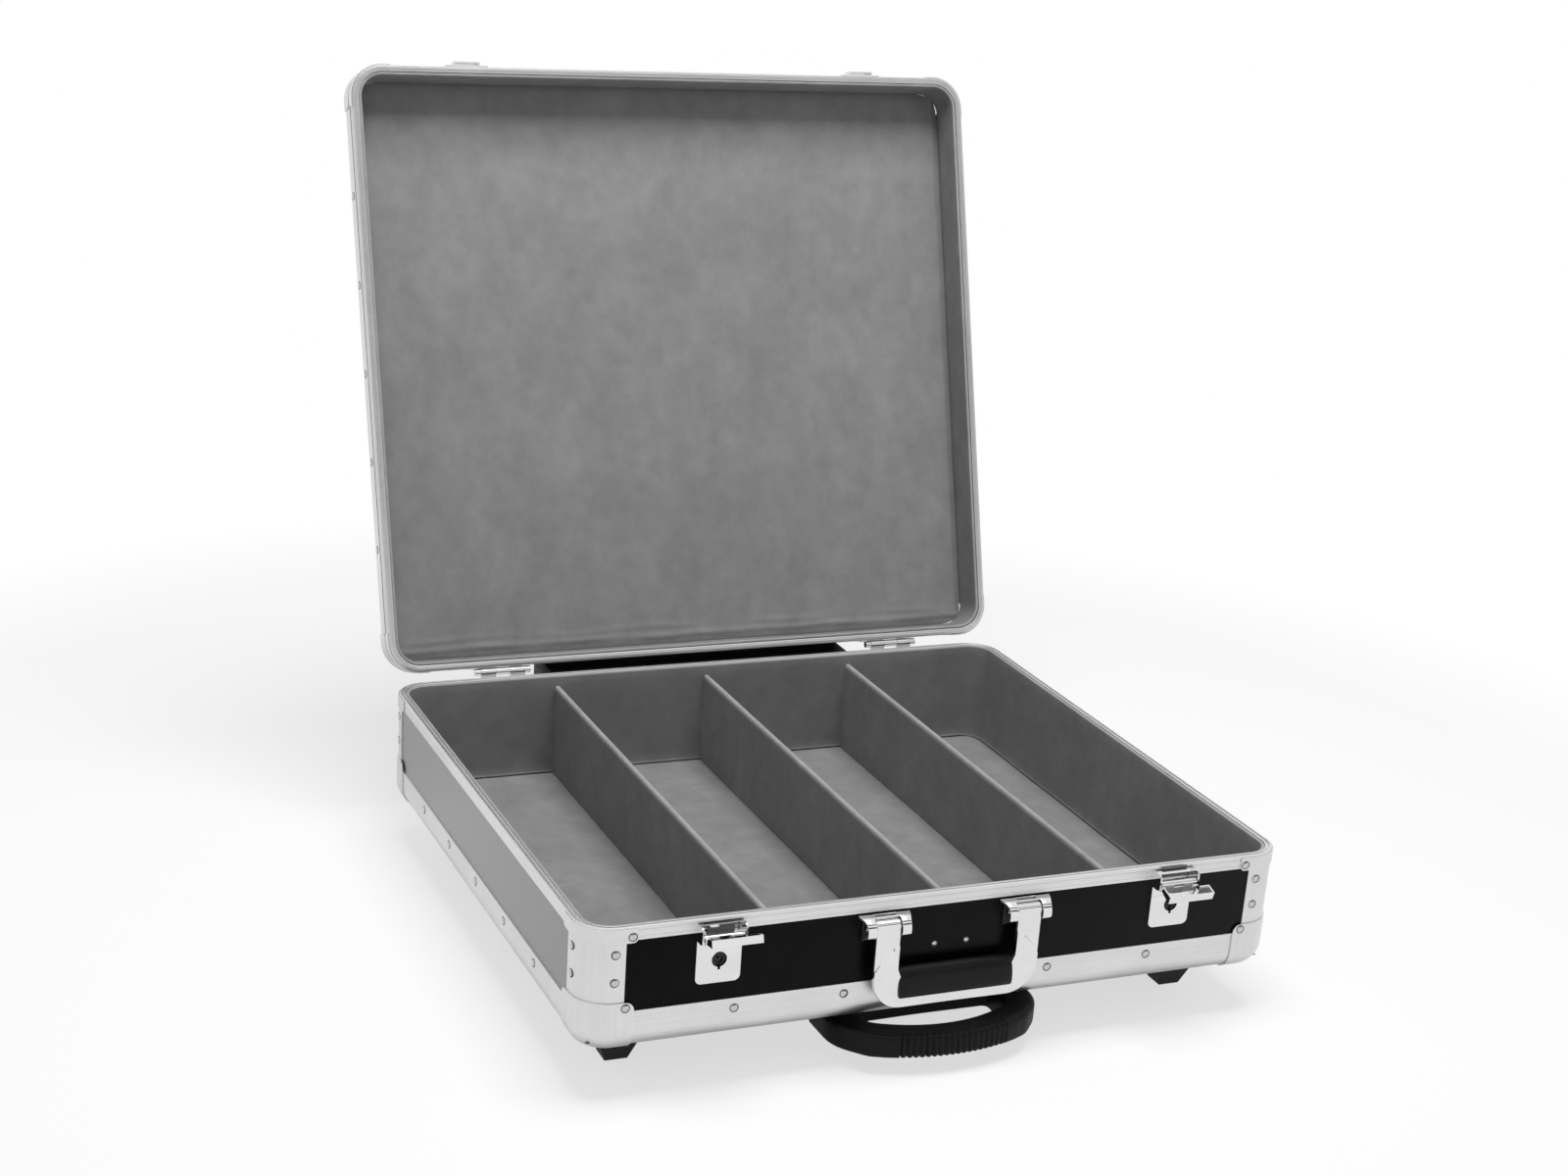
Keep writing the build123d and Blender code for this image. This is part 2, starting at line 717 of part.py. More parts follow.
def handle_grip(frame):
    """Half-round grip held between the arms and over the band."""
    half = bracket_x - arm_width / 2
    low = handle_drop - handle_band
    back_y = front - handle_grip_back
    front_y = front - handle_grip_front
    slope = handle_grip_slope
    section = Polygon(
        (back_y, -handle_grip_top - slope), (back_y, -low),
        (front_y, -low), (front_y, -low + handle_grip_belly),
        (front_y + slope, -handle_grip_top), (back_y - slope, -handle_grip_top),
        align=None,
    )
    section = fillet(section.vertices(), handle_grip_corner)
    plane = Plane(origin=(-half, 0, 0), x_dir=(0, 1, 0), z_dir=(1, 0, 0))
    return extrude(plane * section, 2 * half, dir=(1, 0, 0)) - frame


def make_handle():
    for side, sx in (("left", -1), ("right", 1)):
        parts[f"handle_bracket_{side}"] = Pos(sx * bracket_x, 0, 0) * handle_bracket()
    pin_y = front - handle_pivot_out
    half = bracket_front_width / 2
    pins = []
    for sx in (-1, 1):
        start = (sx * bracket_x - half, pin_y, -handle_pivot_drop)
        end = (sx * bracket_x + half, pin_y, -handle_pivot_drop)
        pins.append(rod(handle_pin_radius, start, end))
    parts["handle_pins"] = group(pins)
    frame = handle_frame()
    parts["handle_frame"] = frame
    parts["handle_grip"] = handle_grip(frame)


def tube(width, height, start, end):
    """A flat tube along Y under the case."""
    plane = Plane(origin=(0, start, tube_z), x_dir=(-1, 0, 0), z_dir=(0, 1, 0))
    outline = RectangleRounded(width, height, tube_corner)
    bore = RectangleRounded(width - 2 * tube_wall, height - 2 * tube_wall, tube_corner - tube_wall)
    return extrude(plane * (outline - bore), end - start)


def trolley_grip():
    """Moulded grip: straight sides, an arched ribbed front and a finger slot."""
    half = grip_width / 2
    left = [(-half, -grip_back), (-half, -grip_side_front)]
    shoulder = (-grip_shoulder_x, -grip_shoulder_front)
    right_shoulder = (grip_shoulder_x, -grip_shoulder_front)
    right = [(half, -grip_side_front), (half, -grip_back)]
    edges = [
        Line(left[0], left[1]),
        Line(left[1], shoulder),
        ThreePointArc(shoulder, (0, -grip_front), right_shoulder),
        Line(right_shoulder, right[0]),
        Line(right[0], right[1]),
        Line(right[1], left[0]),
    ]
    outline = make_face(edges)
    outline = fillet(outline.vertices().sort_by(Axis.Y)[2:4], grip_shoulder_corner)
    slot_x = slot_half_width
    slot = make_face([
        Line((-slot_x, -slot_side_front), (-slot_x, -slot_back)),
        Line((-slot_x, -slot_back), (slot_x, -slot_back)),
        Line((slot_x, -slot_back), (slot_x, -slot_side_front)),
        ThreePointArc((slot_x, -slot_side_front), (0, -slot_front), (-slot_x, -slot_side_front)),
    ])
    slot = fillet(slot.vertices(), slot_corner)
    body = Pos(0, 0, grip_z - grip_thickness / 2) * extrude(outline, grip_thickness, dir=(0, 0, 1))
    rounded = body.edges().group_by(Axis.Z)[-1] + body.edges().group_by(Axis.Z)[0]
    body = fillet(rounded, grip_edge)
    body -= Pos(0, 0, grip_z - grip_thickness) * extrude(slot, 2 * grip_thickness, dir=(0, 0, 1))
    chord = grip_shoulder_front - grip_front
    arc_radius = (grip_shoulder_x ** 2 + chord ** 2) / (2 * abs(chord))
    centre_y = -grip_front + arc_radius
    for number in range(rib_count):
        x = -rib_span / 2 + number * rib_span / (rib_count - 1)
        y = centre_y - math.sqrt(arc_radius ** 2 - x ** 2)
        body -= rod(rib_radius, (x, y, grip_z - grip_thickness), (x, y, grip_z + grip_thickness))
    return body


def make_trolley():
    inner_width = outer_tube_width - 2 * (tube_wall + tube_clearance)
    inner_height = outer_tube_height - 2 * (tube_wall + tube_clearance)
    grip = trolley_grip()
    outer = tube(outer_tube_width, outer_tube_height, -outer_tube_front, half_depth)
    inner = tube(inner_width, inner_height, -grip_back - tube_socket, inner_tube_back)
    solid_inner = extrude(
        Plane(origin=(0, -grip_back - tube_socket, tube_z), x_dir=(-1, 0, 0), z_dir=(0, 1, 0))
        * RectangleRounded(inner_width, inner_height, tube_corner),
        tube_socket + 5,
    )
    saddles = []
    for side, sx in (("left", -1), ("right", 1)):
        spot = Pos(sx * tube_x, 0, 0)
        parts[f"trolley_outer_tube_{side}"] = spot * outer
        parts[f"trolley_inner_tube_{side}"] = spot * inner
        grip -= spot * solid_inner
        for y in (-saddle_y, saddle_y):
            low = tube_z - outer_tube_height / 2 - saddle_floor
            saddle = block(
                (-saddle_width / 2, y - saddle_length / 2, low),
                (saddle_width / 2, y + saddle_length / 2, -base_height),
            )
            opening = Plane(origin=(0, y - saddle_length, tube_z), x_dir=(-1, 0, 0), z_dir=(0, 1, 0))
            hole = RectangleRounded(outer_tube_width, outer_tube_height, tube_corner)
            saddle -= extrude(opening * hole, 2 * saddle_length)
            saddles.append(spot * saddle)
    parts["trolley_saddles"] = group(saddles)
    parts["trolley_grip"] = grip


def wheel_rod(radius, start_x, end_x):
    """A round bar on the wheels' axis between two places along it."""
    y = half_depth + wheel_axle_out
    return rod(radius, (start_x, y, -wheel_axle_drop), (end_x, y, -wheel_axle_drop))


def make_wheels():
    half = housing_width / 2
    back = half_depth + housing_depth
    body = block((-half, half_depth, -housing_bottom), (half, back, -housing_top))
    ends = body.edges().filter_by(Axis.Y).group_by(Axis.Z)[-1]
    body = chamfer(ends, housing_end_chamfer)
    rear = body.edges().filter_by(Axis.X).group_by(Axis.Y)[-1]
    body = fillet(rear, housing_back_corner)
    well_width = wheel_width + 2 * wheel_side_gap
    for sx in (-1, 1):
        xs = sorted((sx * (half - well_width), sx * (half + 1)))
        body -= wheel_rod(wheel_radius + wheel_well_gap, *xs)
        body -= block((xs[0], half_depth - 1, -housing_bottom - 1), (xs[1], back + 1, -wheel_axle_drop))
    inside_x = half - well_width - axle_seat
    inside = block(
        (-inside_x, half_depth - 1, -housing_bottom + housing_sill),
        (inside_x, back - housing_wall, -housing_top - housing_wall),
    )
    axles = []
    for side, sx in (("left", -1), ("right", 1)):
        inner_x = sx * inside_x
        hub_x = sx * (half - wheel_side_gap)
        head_x = hub_x + sx * 0.5
        end_x = head_x + sx * axle_head
        axle = wheel_rod(axle_radius, inner_x, head_x)
        axles.append(axle + wheel_rod(axle_head_radius, head_x, end_x))
        body -= wheel_rod(axle_radius, inner_x, hub_x)
        wheel_in = sx * (half - well_width + wheel_side_gap)
        wheel = fillet(wheel_rod(wheel_radius, wheel_in, hub_x).edges(), wheel_corner)
        wheel -= wheel_rod(wheel_groove_radius, hub_x - sx * wheel_groove_depth, end_x)
        wheel += wheel_rod(wheel_hub_radius, wheel_in, hub_x)
        wheel -= wheel_rod(axle_radius + running_clearance, inner_x, end_x)
        parts[f"wheel_{side}"] = wheel
    parts["wheel_axles"] = group(axles)
    parts["wheel_housing"] = body - inside


def corner_rivets(drops, flip):
    """Rivets just inside both tangents of every corner profile, at the given heights."""
    heads = []
    for sx, sy in corners().values():
        cx = sx * (half_width - corner_radius)
        cy = sy * (half_depth - corner_radius)
        near = math.asin(corner_rivet_inset / corner_radius)
        for turn in (near, math.pi / 2 - near):
            normal = (sx * math.sin(turn), sy * math.cos(turn), 0)
            for drop in drops:
                point = (cx + corner_radius * normal[0], cy + corner_radius * normal[1], flip * drop)
                heads.append(rivet(point, normal))
    return heads


def edge_rivets(z):
    """Rivets along the legs of the four edge extrusions."""
    heads = []
    for sy, shares in ((-1, front_rivet_shares), (1, back_rivet_shares)):
        for share in shares:
            for sx in (-1, 1):
                heads.append(rivet((sx * share * half_width, sy * half_depth, z), (0, sy, 0)))
    for sx in (-1, 1):
        for number in range(side_rivet_count):
            y = (number - (side_rivet_count - 1) / 2) * side_rivet_share * case_depth
            heads.append(rivet((sx * half_width, y, z), (sx, 0, 0)))
    return heads


def make_rivets(lid):
    heads = corner_rivets(corner_rivet_drops, -1)
    heads += edge_rivets(-base_height + base_edge_leg - rivet_from_leg)
    for sx in (-1, 1):
        for sy in (-1, 1):
            clamp_x = half_width - clamp_rivet_inset
            spot = (sx * clamp_x, sy * (half_depth + clamp_skin), -clamp_rivet_drop)
            heads.append(rivet(spot, (0, sy, 0)))
            cap_x = half_width - cap_rivet_inset
            spot = (sx * cap_x, sy * (half_depth + skin), -cap_rivet_drop)
            heads.append(rivet(spot, (0, sy, 0)))
        spot = (sx * panel_rivet_x, front + skin, -panel_rivet_drop)
        heads.append(rivet(spot, (0, -1, 0), panel_rivet_radius))
    parts["base_rivets"] = group(heads)
    lid["lid_rivets"] = group(edge_rivets(lid_height - lid_edge_leg + rivet_from_leg))


def build():
    lid = {}
    rim = make_base_rim()
    make_base_walls()
    make_base_corners(rim)
    make_base_lining()
    make_feet()
    lid.update(make_lid())
    make_hinges(lid)
    make_latches(lid)
    make_handle()
    make_trolley()
    make_wheels()
    make_rivets(lid)
    for name, shape in lid.items():
        parts[name] = shape.rotate(hinge_axis, -lid_open_angle)


build()
boxes = [shape.bounding_box() for shape in parts.values()]
middle_y = (min(box.min.Y for box in boxes) + max(box.max.Y for box in boxes)) / 2
placing = Pos(0, -middle_y, floor_drop)

os.makedirs("parts", exist_ok=True)
for name, shape in parts.items():
    export_step(placing * shape, f"parts/{name}.step")
print(f"{len(parts)} nodes, case centre at y = {-middle_y:.3f}, rim plane at z = {floor_drop:.3f}")
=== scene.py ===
import bpy
import json
import math
from mathutils import Matrix, Vector, noise


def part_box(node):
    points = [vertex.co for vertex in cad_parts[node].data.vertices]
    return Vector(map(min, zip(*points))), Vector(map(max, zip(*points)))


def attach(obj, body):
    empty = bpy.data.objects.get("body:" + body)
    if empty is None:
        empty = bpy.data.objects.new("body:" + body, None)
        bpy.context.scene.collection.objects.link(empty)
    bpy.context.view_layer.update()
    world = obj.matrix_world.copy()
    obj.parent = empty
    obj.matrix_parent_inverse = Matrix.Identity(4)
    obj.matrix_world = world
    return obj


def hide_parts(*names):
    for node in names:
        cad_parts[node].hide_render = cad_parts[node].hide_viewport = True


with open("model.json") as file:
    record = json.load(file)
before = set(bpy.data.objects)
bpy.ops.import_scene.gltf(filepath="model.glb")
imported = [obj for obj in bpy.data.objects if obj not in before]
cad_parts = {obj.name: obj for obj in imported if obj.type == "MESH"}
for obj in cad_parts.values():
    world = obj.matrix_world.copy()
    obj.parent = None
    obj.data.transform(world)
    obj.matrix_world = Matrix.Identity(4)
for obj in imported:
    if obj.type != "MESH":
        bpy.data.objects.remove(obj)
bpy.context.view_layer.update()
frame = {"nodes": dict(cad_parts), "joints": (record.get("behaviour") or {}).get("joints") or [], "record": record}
nodes = frame["nodes"]
print("frame loaded")

# The case's own measures in millimetres, from the middle of the base's rim plane
caseShape = {
    "cornerRadius": 29.0,
    "edgeRadius": 19.0,
    "baseHeight": 105.0,
    "lidHeight": 45.0,
    "lidGap": 0.3,
    "wall": 6.0,
    "lining": 9.0,
}
rimLow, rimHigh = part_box("base_rim")
rimCentre = Vector(((rimLow.x + rimHigh.x) / 2, (rimLow.y + rimHigh.y) / 2, rimHigh.z))
halfWidth = (rimHigh.x - rimLow.x) * 500
halfDepth = (rimHigh.y - rimLow.y) * 500
lidJoint = next(j for j in frame["joints"] if j["child"] == "lid")
lidPivot = Vector(lidJoint["pos_m"])
lidTurn = Matrix.Rotation(math.radians(-lidJoint["range_deg"][1]), 4, "X")
lidOpened = Matrix.Translation(lidPivot) @ lidTurn @ Matrix.Translation(-lidPivot)


def onBase(x, y, z):
    return rimCentre + Vector((x, y, z)) / 1000


def onLid(x, y, z):
    return lidOpened @ onBase(x, y, z)


def planPath(inset, arcSteps, straightSteps):
    # The rounded plan of the case drawn in by inset, with the same count of points at any inset
    radius = caseShape["cornerRadius"]
    bend = max(radius, inset)
    arcs = []
    for sx, sy, start in ((-1, -1, 180), (1, -1, 270), (1, 1, 0), (-1, 1, 90)):
        cx, cy = sx * (halfWidth - bend), sy * (halfDepth - bend)
        arc = []
        for step in range(arcSteps + 1):
            turn = math.radians(start + 90 * step / arcSteps)
            arc.append((cx + (bend - inset) * math.cos(turn), cy + (bend - inset) * math.sin(turn)))
        arcs.append(arc)
    path = []
    for number, arc in enumerate(arcs):
        path += arc
        end, nextStart = arc[-1], arcs[(number + 1) % 4][0]
        for step in range(1, straightSteps):
            share = step / straightSteps
            path.append((end[0] + (nextStart[0] - end[0]) * share, end[1] + (nextStart[1] - end[1]) * share))
    return path


def addPiece(name, points, faces, material, body, smooth=30):
    mesh = bpy.data.meshes.new(name)
    mesh.from_pydata([tuple(p) for p in points], [], faces)
    mesh.validate()
    mesh.materials.append(material)
    piece = bpy.data.objects.new(name, mesh)
    bpy.context.scene.collection.objects.link(piece)
    mesh.shade_smooth()
    if smooth:
        mesh.set_sharp_from_angle(angle=math.radians(smooth))
    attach(piece, body)
    return piece


def loopFaces(rows, columns, closeRows, closeColumns, flip=False):
    # Quads of a grid of rows x columns points, closed round either way
    faces = []
    for r in range(rows if closeRows else rows - 1):
        for c in range(columns if closeColumns else columns - 1):
            nr, nc = (r + 1) % rows, (c + 1) % columns
            quad = (r * columns + c, r * columns + nc, nr * columns + nc, nr * columns + c)
            faces.append(quad[::-1] if flip else quad)
    return faces


def slabFaces(rows, columns, flip=False):
    # Two layers of a grid and the wall between their edges
    faces = loopFaces(rows, columns, False, False, flip)
    under = rows * columns
    faces += [tuple(i + under for i in face[::-1]) for face in faces]
    border = list(range(columns)) + [r * columns + columns - 1 for r in range(1, rows)]
    border += [(rows - 1) * columns + c for c in range(columns - 2, -1, -1)]
    border += [r * columns for r in range(rows - 2, 0, -1)]
    for number, index in enumerate(border):
        following = border[(number + 1) % len(border)]
        quad = (index, index + under, following + under, following)
        faces.append(quad[::-1] if flip else quad)
    return faces


def tubeFaces(rows, columns, flip=False):
    # The walls between closed rings of points, with a cap on either end
    near = tuple(range(columns))
    far = tuple((rows - 1) * columns + c for c in near)
    return loopFaces(rows, columns, False, True, flip) + ([near, far[::-1]] if flip else [near[::-1], far])


def bevelEdges(piece, width, segments=2, angle=40):
    bevel = piece.modifiers.new("edges", "BEVEL")
    bevel.width = width / 1000
    bevel.segments = segments
    bevel.limit_method = "ANGLE"
    bevel.angle_limit = math.radians(angle)


# Finishes

def newMaterial(name, **values):
    material = bpy.data.materials.new(name)
    material.use_nodes = True
    shader = material.node_tree.nodes["Principled BSDF"]
    for socket, value in values.items():
        shader.inputs[socket.replace("_", " ")].default_value = value
    return material, material.node_tree, shader


def addNode(tree, kind, **values):
    node = tree.nodes.new(kind)
    for key, value in values.items():
        if key in node.inputs:
            node.inputs[key].default_value = value
        else:
            setattr(node, key, value)
    return node


def combine(tree, operation, first, second, **values):
    # One sum of two values, each of them a socket or a plain number
    node = addNode(tree, "ShaderNodeMath", operation=operation, **values)
    for socket, value in zip(node.inputs, (first, second)):
        if isinstance(value, float):
            socket.default_value = value
        else:
            tree.links.new(value, socket)
    return node.outputs[0]


def mixSurfaces(tree, share, first, second):
    # Two surfaces mixed by a share, for the output of a material or the world
    mix = tree.nodes.new("ShaderNodeMixShader")
    for socket, value in zip(mix.inputs, (share, first, second)):
        tree.links.new(value, socket)
    output = next(n for n in tree.nodes if n.type.startswith("OUTPUT"))
    tree.links.new(mix.outputs[0], output.inputs["Surface"])


def stretchedPlace(tree, scale, turn=0.0):
    # Object coordinates scaled unevenly, after a turn about X for pieces of the leaning lid
    place = addNode(tree, "ShaderNodeTexCoord").outputs["Object"]
    if turn:
        upright = addNode(tree, "ShaderNodeMapping")
        upright.inputs["Rotation"].default_value = (turn, 0, 0)
        tree.links.new(place, upright.inputs["Vector"])
        place = upright.outputs["Vector"]
    mapping = addNode(tree, "ShaderNodeMapping")
    mapping.inputs["Scale"].default_value = scale
    tree.links.new(place, mapping.inputs["Vector"])
    return mapping.outputs["Vector"]


def noiseAt(tree, place, scale, detail=3.0, roughness=0.55):
    texture = addNode(tree, "ShaderNodeTexNoise", Scale=scale, Detail=detail, Roughness=roughness)
    tree.links.new(place, texture.inputs["Vector"])
    return texture.outputs["Fac"]


def ramp(tree, value, stops):
    node = tree.nodes.new("ShaderNodeValToRGB")
    while len(node.color_ramp.elements) < len(stops):
        node.color_ramp.elements.new(0.5)
    for element, (place, tone) in zip(node.color_ramp.elements, stops):
        element.position = place
        element.color = (tone, tone, tone, 1) if isinstance(tone, float) else (*tone, 1)
    tree.links.new(value, node.inputs["Fac"])
    return node.outputs["Color"]


def addBump(tree, shader, height, strength, distance):
    bump = addNode(tree, "ShaderNodeBump", Strength=strength, Distance=distance / 1000)
    tree.links.new(height, bump.inputs["Height"])
    tree.links.new(bump.outputs["Normal"], shader.inputs["Normal"])


aluminiumLook = {
    "dark": 0.64, "light": 0.74, "roughLow": 0.3, "roughHigh": 0.42, "lineScale": 900.0, "alongScale": 3.0,
    "cloudScale": 14.0, "bump": 0.1,
}


def makeAluminium(name, along, turn=0.0, share=1.0):
    # Satin drawn aluminium with fine lines that run along one axis; a lower share is darker, as painted shade
    look = aluminiumLook
    material, tree, shader = newMaterial(name, Metallic=1.0)
    scale = [look["lineScale"]] * 3
    scale["xyz".index(along)] = look["alongScale"]
    lines = noiseAt(tree, stretchedPlace(tree, scale, turn), 1.0, 2.0)
    clouds = noiseAt(tree, stretchedPlace(tree, (1, 1, 1), turn), look["cloudScale"], 4.0)
    both = combine(tree, "MULTIPLY", combine(tree, "ADD", lines, clouds), 0.5)
    tone = ramp(tree, both, ((0.35, look["dark"] * share), (0.65, look["light"] * share)))
    tree.links.new(tone, shader.inputs["Base Color"])
    rough = ramp(tree, lines, ((0.3, look["roughLow"]), (0.7, look["roughHigh"])))
    tree.links.new(rough, shader.inputs["Roughness"])
    addBump(tree, shader, lines, look["bump"], 0.3)
    return material


opened = math.radians(lidJoint["range_deg"][1])
aluminium = {
    "x": makeAluminium("satin_aluminium_across", "x"),
    "y": makeAluminium("satin_aluminium_along", "y"),
    "z": makeAluminium("satin_aluminium_upright", "z"),
    "lidX": makeAluminium("satin_aluminium_lid_across", "x", opened),
    # The lid rim's copy is painted darker: painted shade on the same aluminium
    "lidRimPaintedShade": makeAluminium("satin_aluminium_lid_rim_painted_shade", "x", opened, 0.84),
}

boardLook = {
    "black": 0.002, "dust": 0.0045, "roughness": 0.25, "shine": 0.03, "grazing": 0.91, "power": 3.0,
    "gloss": 0.9, "glossRoughness": 0.3,
}


def makeBoard():
    # Smooth black laminate that turns light where it is seen at a low angle
    look = boardLook
    material, tree, shader = newMaterial("black_laminate", Roughness=look["roughness"])
    shader.inputs["Specular IOR Level"].default_value = look["shine"]
    place = stretchedPlace(tree, (1, 1, 1))
    dust = noiseAt(tree, place, 60.0, 6.0, 0.65)
    tone = ramp(tree, dust, ((0.45, look["black"]), (0.75, look["dust"])))
    tree.links.new(tone, shader.inputs["Base Color"])
    fine = noiseAt(tree, place, 900.0, 2.0)
    addBump(tree, shader, fine, 0.04, 0.2)
    facing = addNode(tree, "ShaderNodeLayerWeight", Blend=0.5).outputs["Facing"]
    low = combine(tree, "POWER", facing, look["power"])
    share = combine(tree, "MULTIPLY", low, look["grazing"], use_clamp=True)
    gloss = addNode(tree, "ShaderNodeBsdfGlossy", Roughness=look["glossRoughness"])
    gloss.inputs["Color"].default_value = (look["gloss"],) * 3 + (1,)
    mixSurfaces(tree, share, shader.outputs[0], gloss.outputs[0])
    return material


feltLook = {
    "dark": 0.24, "light": 0.285, "cloudScale": 60.0, "fibreScale": 1600.0, "fibreShare": 0.35,
    "brushScale": 22.0, "brushed": ((0.3, 0.9), (0.52, 1.0), (0.68, 1.09)),
    "sheen": 0.12, "sheenRoughness": 0.4, "shine": 0.1,
}


def makeFelt(name, brightness=1.0):
    # Short grey velour: brushed clouds, fine nap and a little sheen; brightness makes painted lit or shaded copies
    look = feltLook
    material, tree, shader = newMaterial(name, Roughness=0.95)
    shader.inputs["Specular IOR Level"].default_value = look["shine"]
    shader.inputs["Sheen Weight"].default_value = look["sheen"]
    shader.inputs["Sheen Roughness"].default_value = look["sheenRoughness"]
    place = stretchedPlace(tree, (1, 1, 1))
    clouds = noiseAt(tree, place, look["cloudScale"], 5.0, 0.6)
    fibres = noiseAt(tree, place, look["fibreScale"], 2.0, 0.6)
    both = addNode(tree, "ShaderNodeMath", operation="MULTIPLY_ADD")
    both.inputs[1].default_value = look["fibreShare"]
    tree.links.new(fibres, both.inputs[0])
    tree.links.new(clouds, both.inputs[2])
    low, high = look["dark"] * brightness, look["light"] * brightness
    tone = ramp(tree, both.outputs[0], ((0.45, low), (0.9, high)))
    brushed = noiseAt(tree, stretchedPlace(tree, (1, 1, 0.6)), look["brushScale"], 6.0, 0.62)
    patch = ramp(tree, brushed, look["brushed"])
    shaded = addNode(tree, "ShaderNodeMix", data_type="RGBA", blend_type="MULTIPLY")
    shaded.inputs["Factor"].default_value = 1.0
    tree.links.new(tone, shaded.inputs[6])
    tree.links.new(patch, shaded.inputs[7])
    tree.links.new(shaded.outputs[2], shader.inputs["Base Color"])
    addBump(tree, shader, fibres, 0.25, 0.4)
    return material


def makeMetal(name, tone, roughness, spread, bump=0.03, scale=60.0):
    # Plated or polished metal with slight clouds in its polish
    material, tree, shader = newMaterial(name, Metallic=1.0)
    place = stretchedPlace(tree, (1, 1, 1))
    clouds = noiseAt(tree, place, scale, 4.0)
    colour = ramp(tree, clouds, ((0.3, tone * 0.94), (0.7, tone)))
    tree.links.new(colour, shader.inputs["Base Color"])
    rough = ramp(tree, clouds, ((0.3, roughness), (0.75, roughness + spread)))
    tree.links.new(rough, shader.inputs["Roughness"])
    addBump(tree, shader, clouds, bump, 0.3)
    return material


def makePlastic(name, tone, roughness, grain, bump, specular=0.4):
    # Moulded black plastic or rubber with a fine grain
    material, tree, shader = newMaterial(name)
    shader.inputs["Specular IOR Level"].default_value = specular
    place = stretchedPlace(tree, (1, 1, 1))
    fine = noiseAt(tree, place, grain, 3.0)
    clouds = noiseAt(tree, place, 30.0, 4.0)
    colour = ramp(tree, clouds, ((0.35, tone * 0.75), (0.7, tone * 1.25)))
    tree.links.new(colour, shader.inputs["Base Color"])
    rough = ramp(tree, clouds, ((0.3, roughness), (0.7, roughness + 0.1)))
    tree.links.new(rough, shader.inputs["Roughness"])
    addBump(tree, shader, fine, bump, 0.3)
    return material


laminate = makeBoard()
felt = makeFelt("grey_velour")
# The copy for the walls and dividers is painted darker: painted shade on upright faces
feltWallShaded = makeFelt("grey_velour_walls_painted_shade", 0.83)
# The copy for the edges is painted lighter: a painted highlight on the linings' rounded top edges
feltEdgeHighlight = makeFelt("grey_velour_edge_painted_highlight", 1.35)
chrome = makeMetal("bright_chrome", 0.76, 0.05, 0.05)
rivetMetal = makeMetal("rivet_metal", 0.56, 0.16, 0.1)
tubeSteel = makeMetal("tube_steel", 0.6, 0.25, 0.1)
# Dark steel for the latch bolt: painted shade for the dark recess behind the latch's bar
boltSteelShaded = makeMetal("bolt_steel_painted_shade", 0.16, 0.4, 0.1)
lockBlack = makePlastic("black_lock", 0.008, 0.35, 900.0, 0.05)
handlePlastic = makePlastic("handle_plastic", 0.003, 0.3, 1200.0, 0.03, 0.2)
trolleyPlastic = makePlastic("trolley_plastic", 0.003, 0.36, 1500.0, 0.1, 0.16)
footRubber = makePlastic("foot_rubber", 0.012, 0.55, 1200.0, 0.15)
wheelRubber = makePlastic("wheel_rubber", 0.012, 0.5, 900.0, 0.15)
print("finishes made")

slotFinish = {
    "black_board": laminate,
    "grey_felt": felt,
    "bright_chrome": chrome,
    "rivet_steel": rivetMetal,
    "black_lock": lockBlack,
    "handle_plastic": handlePlastic,
    "trolley_plastic": trolleyPlastic,
    "foot_rubber": footRubber,
    "wheel_rubber": wheelRubber,
    "tube_steel": tubeSteel,
}
boardEdge = makePlastic("board_edge", 0.003, 0.6, 600.0, 0.05, 0.05)
grainOf = {
    "base_edge_front": "x", "base_edge_back": "x", "base_edge_left": "y", "base_edge_right": "y",
    "lid_edge_profiles": "lidX",
}
nodeSlot = {row["node"]: row["material_slot"] for row in frame["record"]["subparts"]}
for nodeName, node in nodes.items():
    slotName = nodeSlot[nodeName]
    finish = slotFinish.get(slotName) or aluminium[grainOf.get(nodeName, "z")]
    if nodeName == "lid_side_boards":
        finish = boardEdge
    # The latch bolt takes the dark copy: painted shade in the recess behind the bar
    if nodeName.startswith("latch_bolt"):
        finish = boltSteelShaded
    if not node.data.materials:
        node.data.materials.append(finish)
    for index in range(len(node.data.materials)):
        node.data.materials[index] = finish
print("finishes given to the carried nodes")

# Rims: one channel round the base and one round the lid, with fine ribs along them

rimLook = {
    "skirt": [
        (0.9, -11.2), (0.15, -11.2), (0.0, -11.0), (0.0, -8.6), (0.25, -8.4), (0.0, -8.2),
        (0.0, -3.6), (0.3, -3.3), (0.3, -2.9), (0.0, -2.6), (0.0, -1.0), (0.3, -0.3), (1.0, 0.0),
    ],
    "top": [
        (2.0, 0.0), (2.2, -0.2), (2.2, -0.8), (4.0, -0.8), (4.0, -0.15), (4.2, 0.0), (5.2, 0.0), (5.8, -0.3),
        (6.0, -0.8),
    ],
    "tongueTop": [
        (2.3, 0.0), (2.6, 0.1), (2.65, 0.5), (2.75, 0.6), (3.45, 0.6), (3.55, 0.5), (3.6, 0.1), (3.9, 0.0),
        (4.4, -0.12), (4.6, 0.0), (5.2, 0.0), (5.8, -0.3), (6.0, -0.8),
    ],
    "inside": [(6.0, -1.5), (1.2, -1.5), (1.2, -11.2)],
    "arcSteps": 14,
}


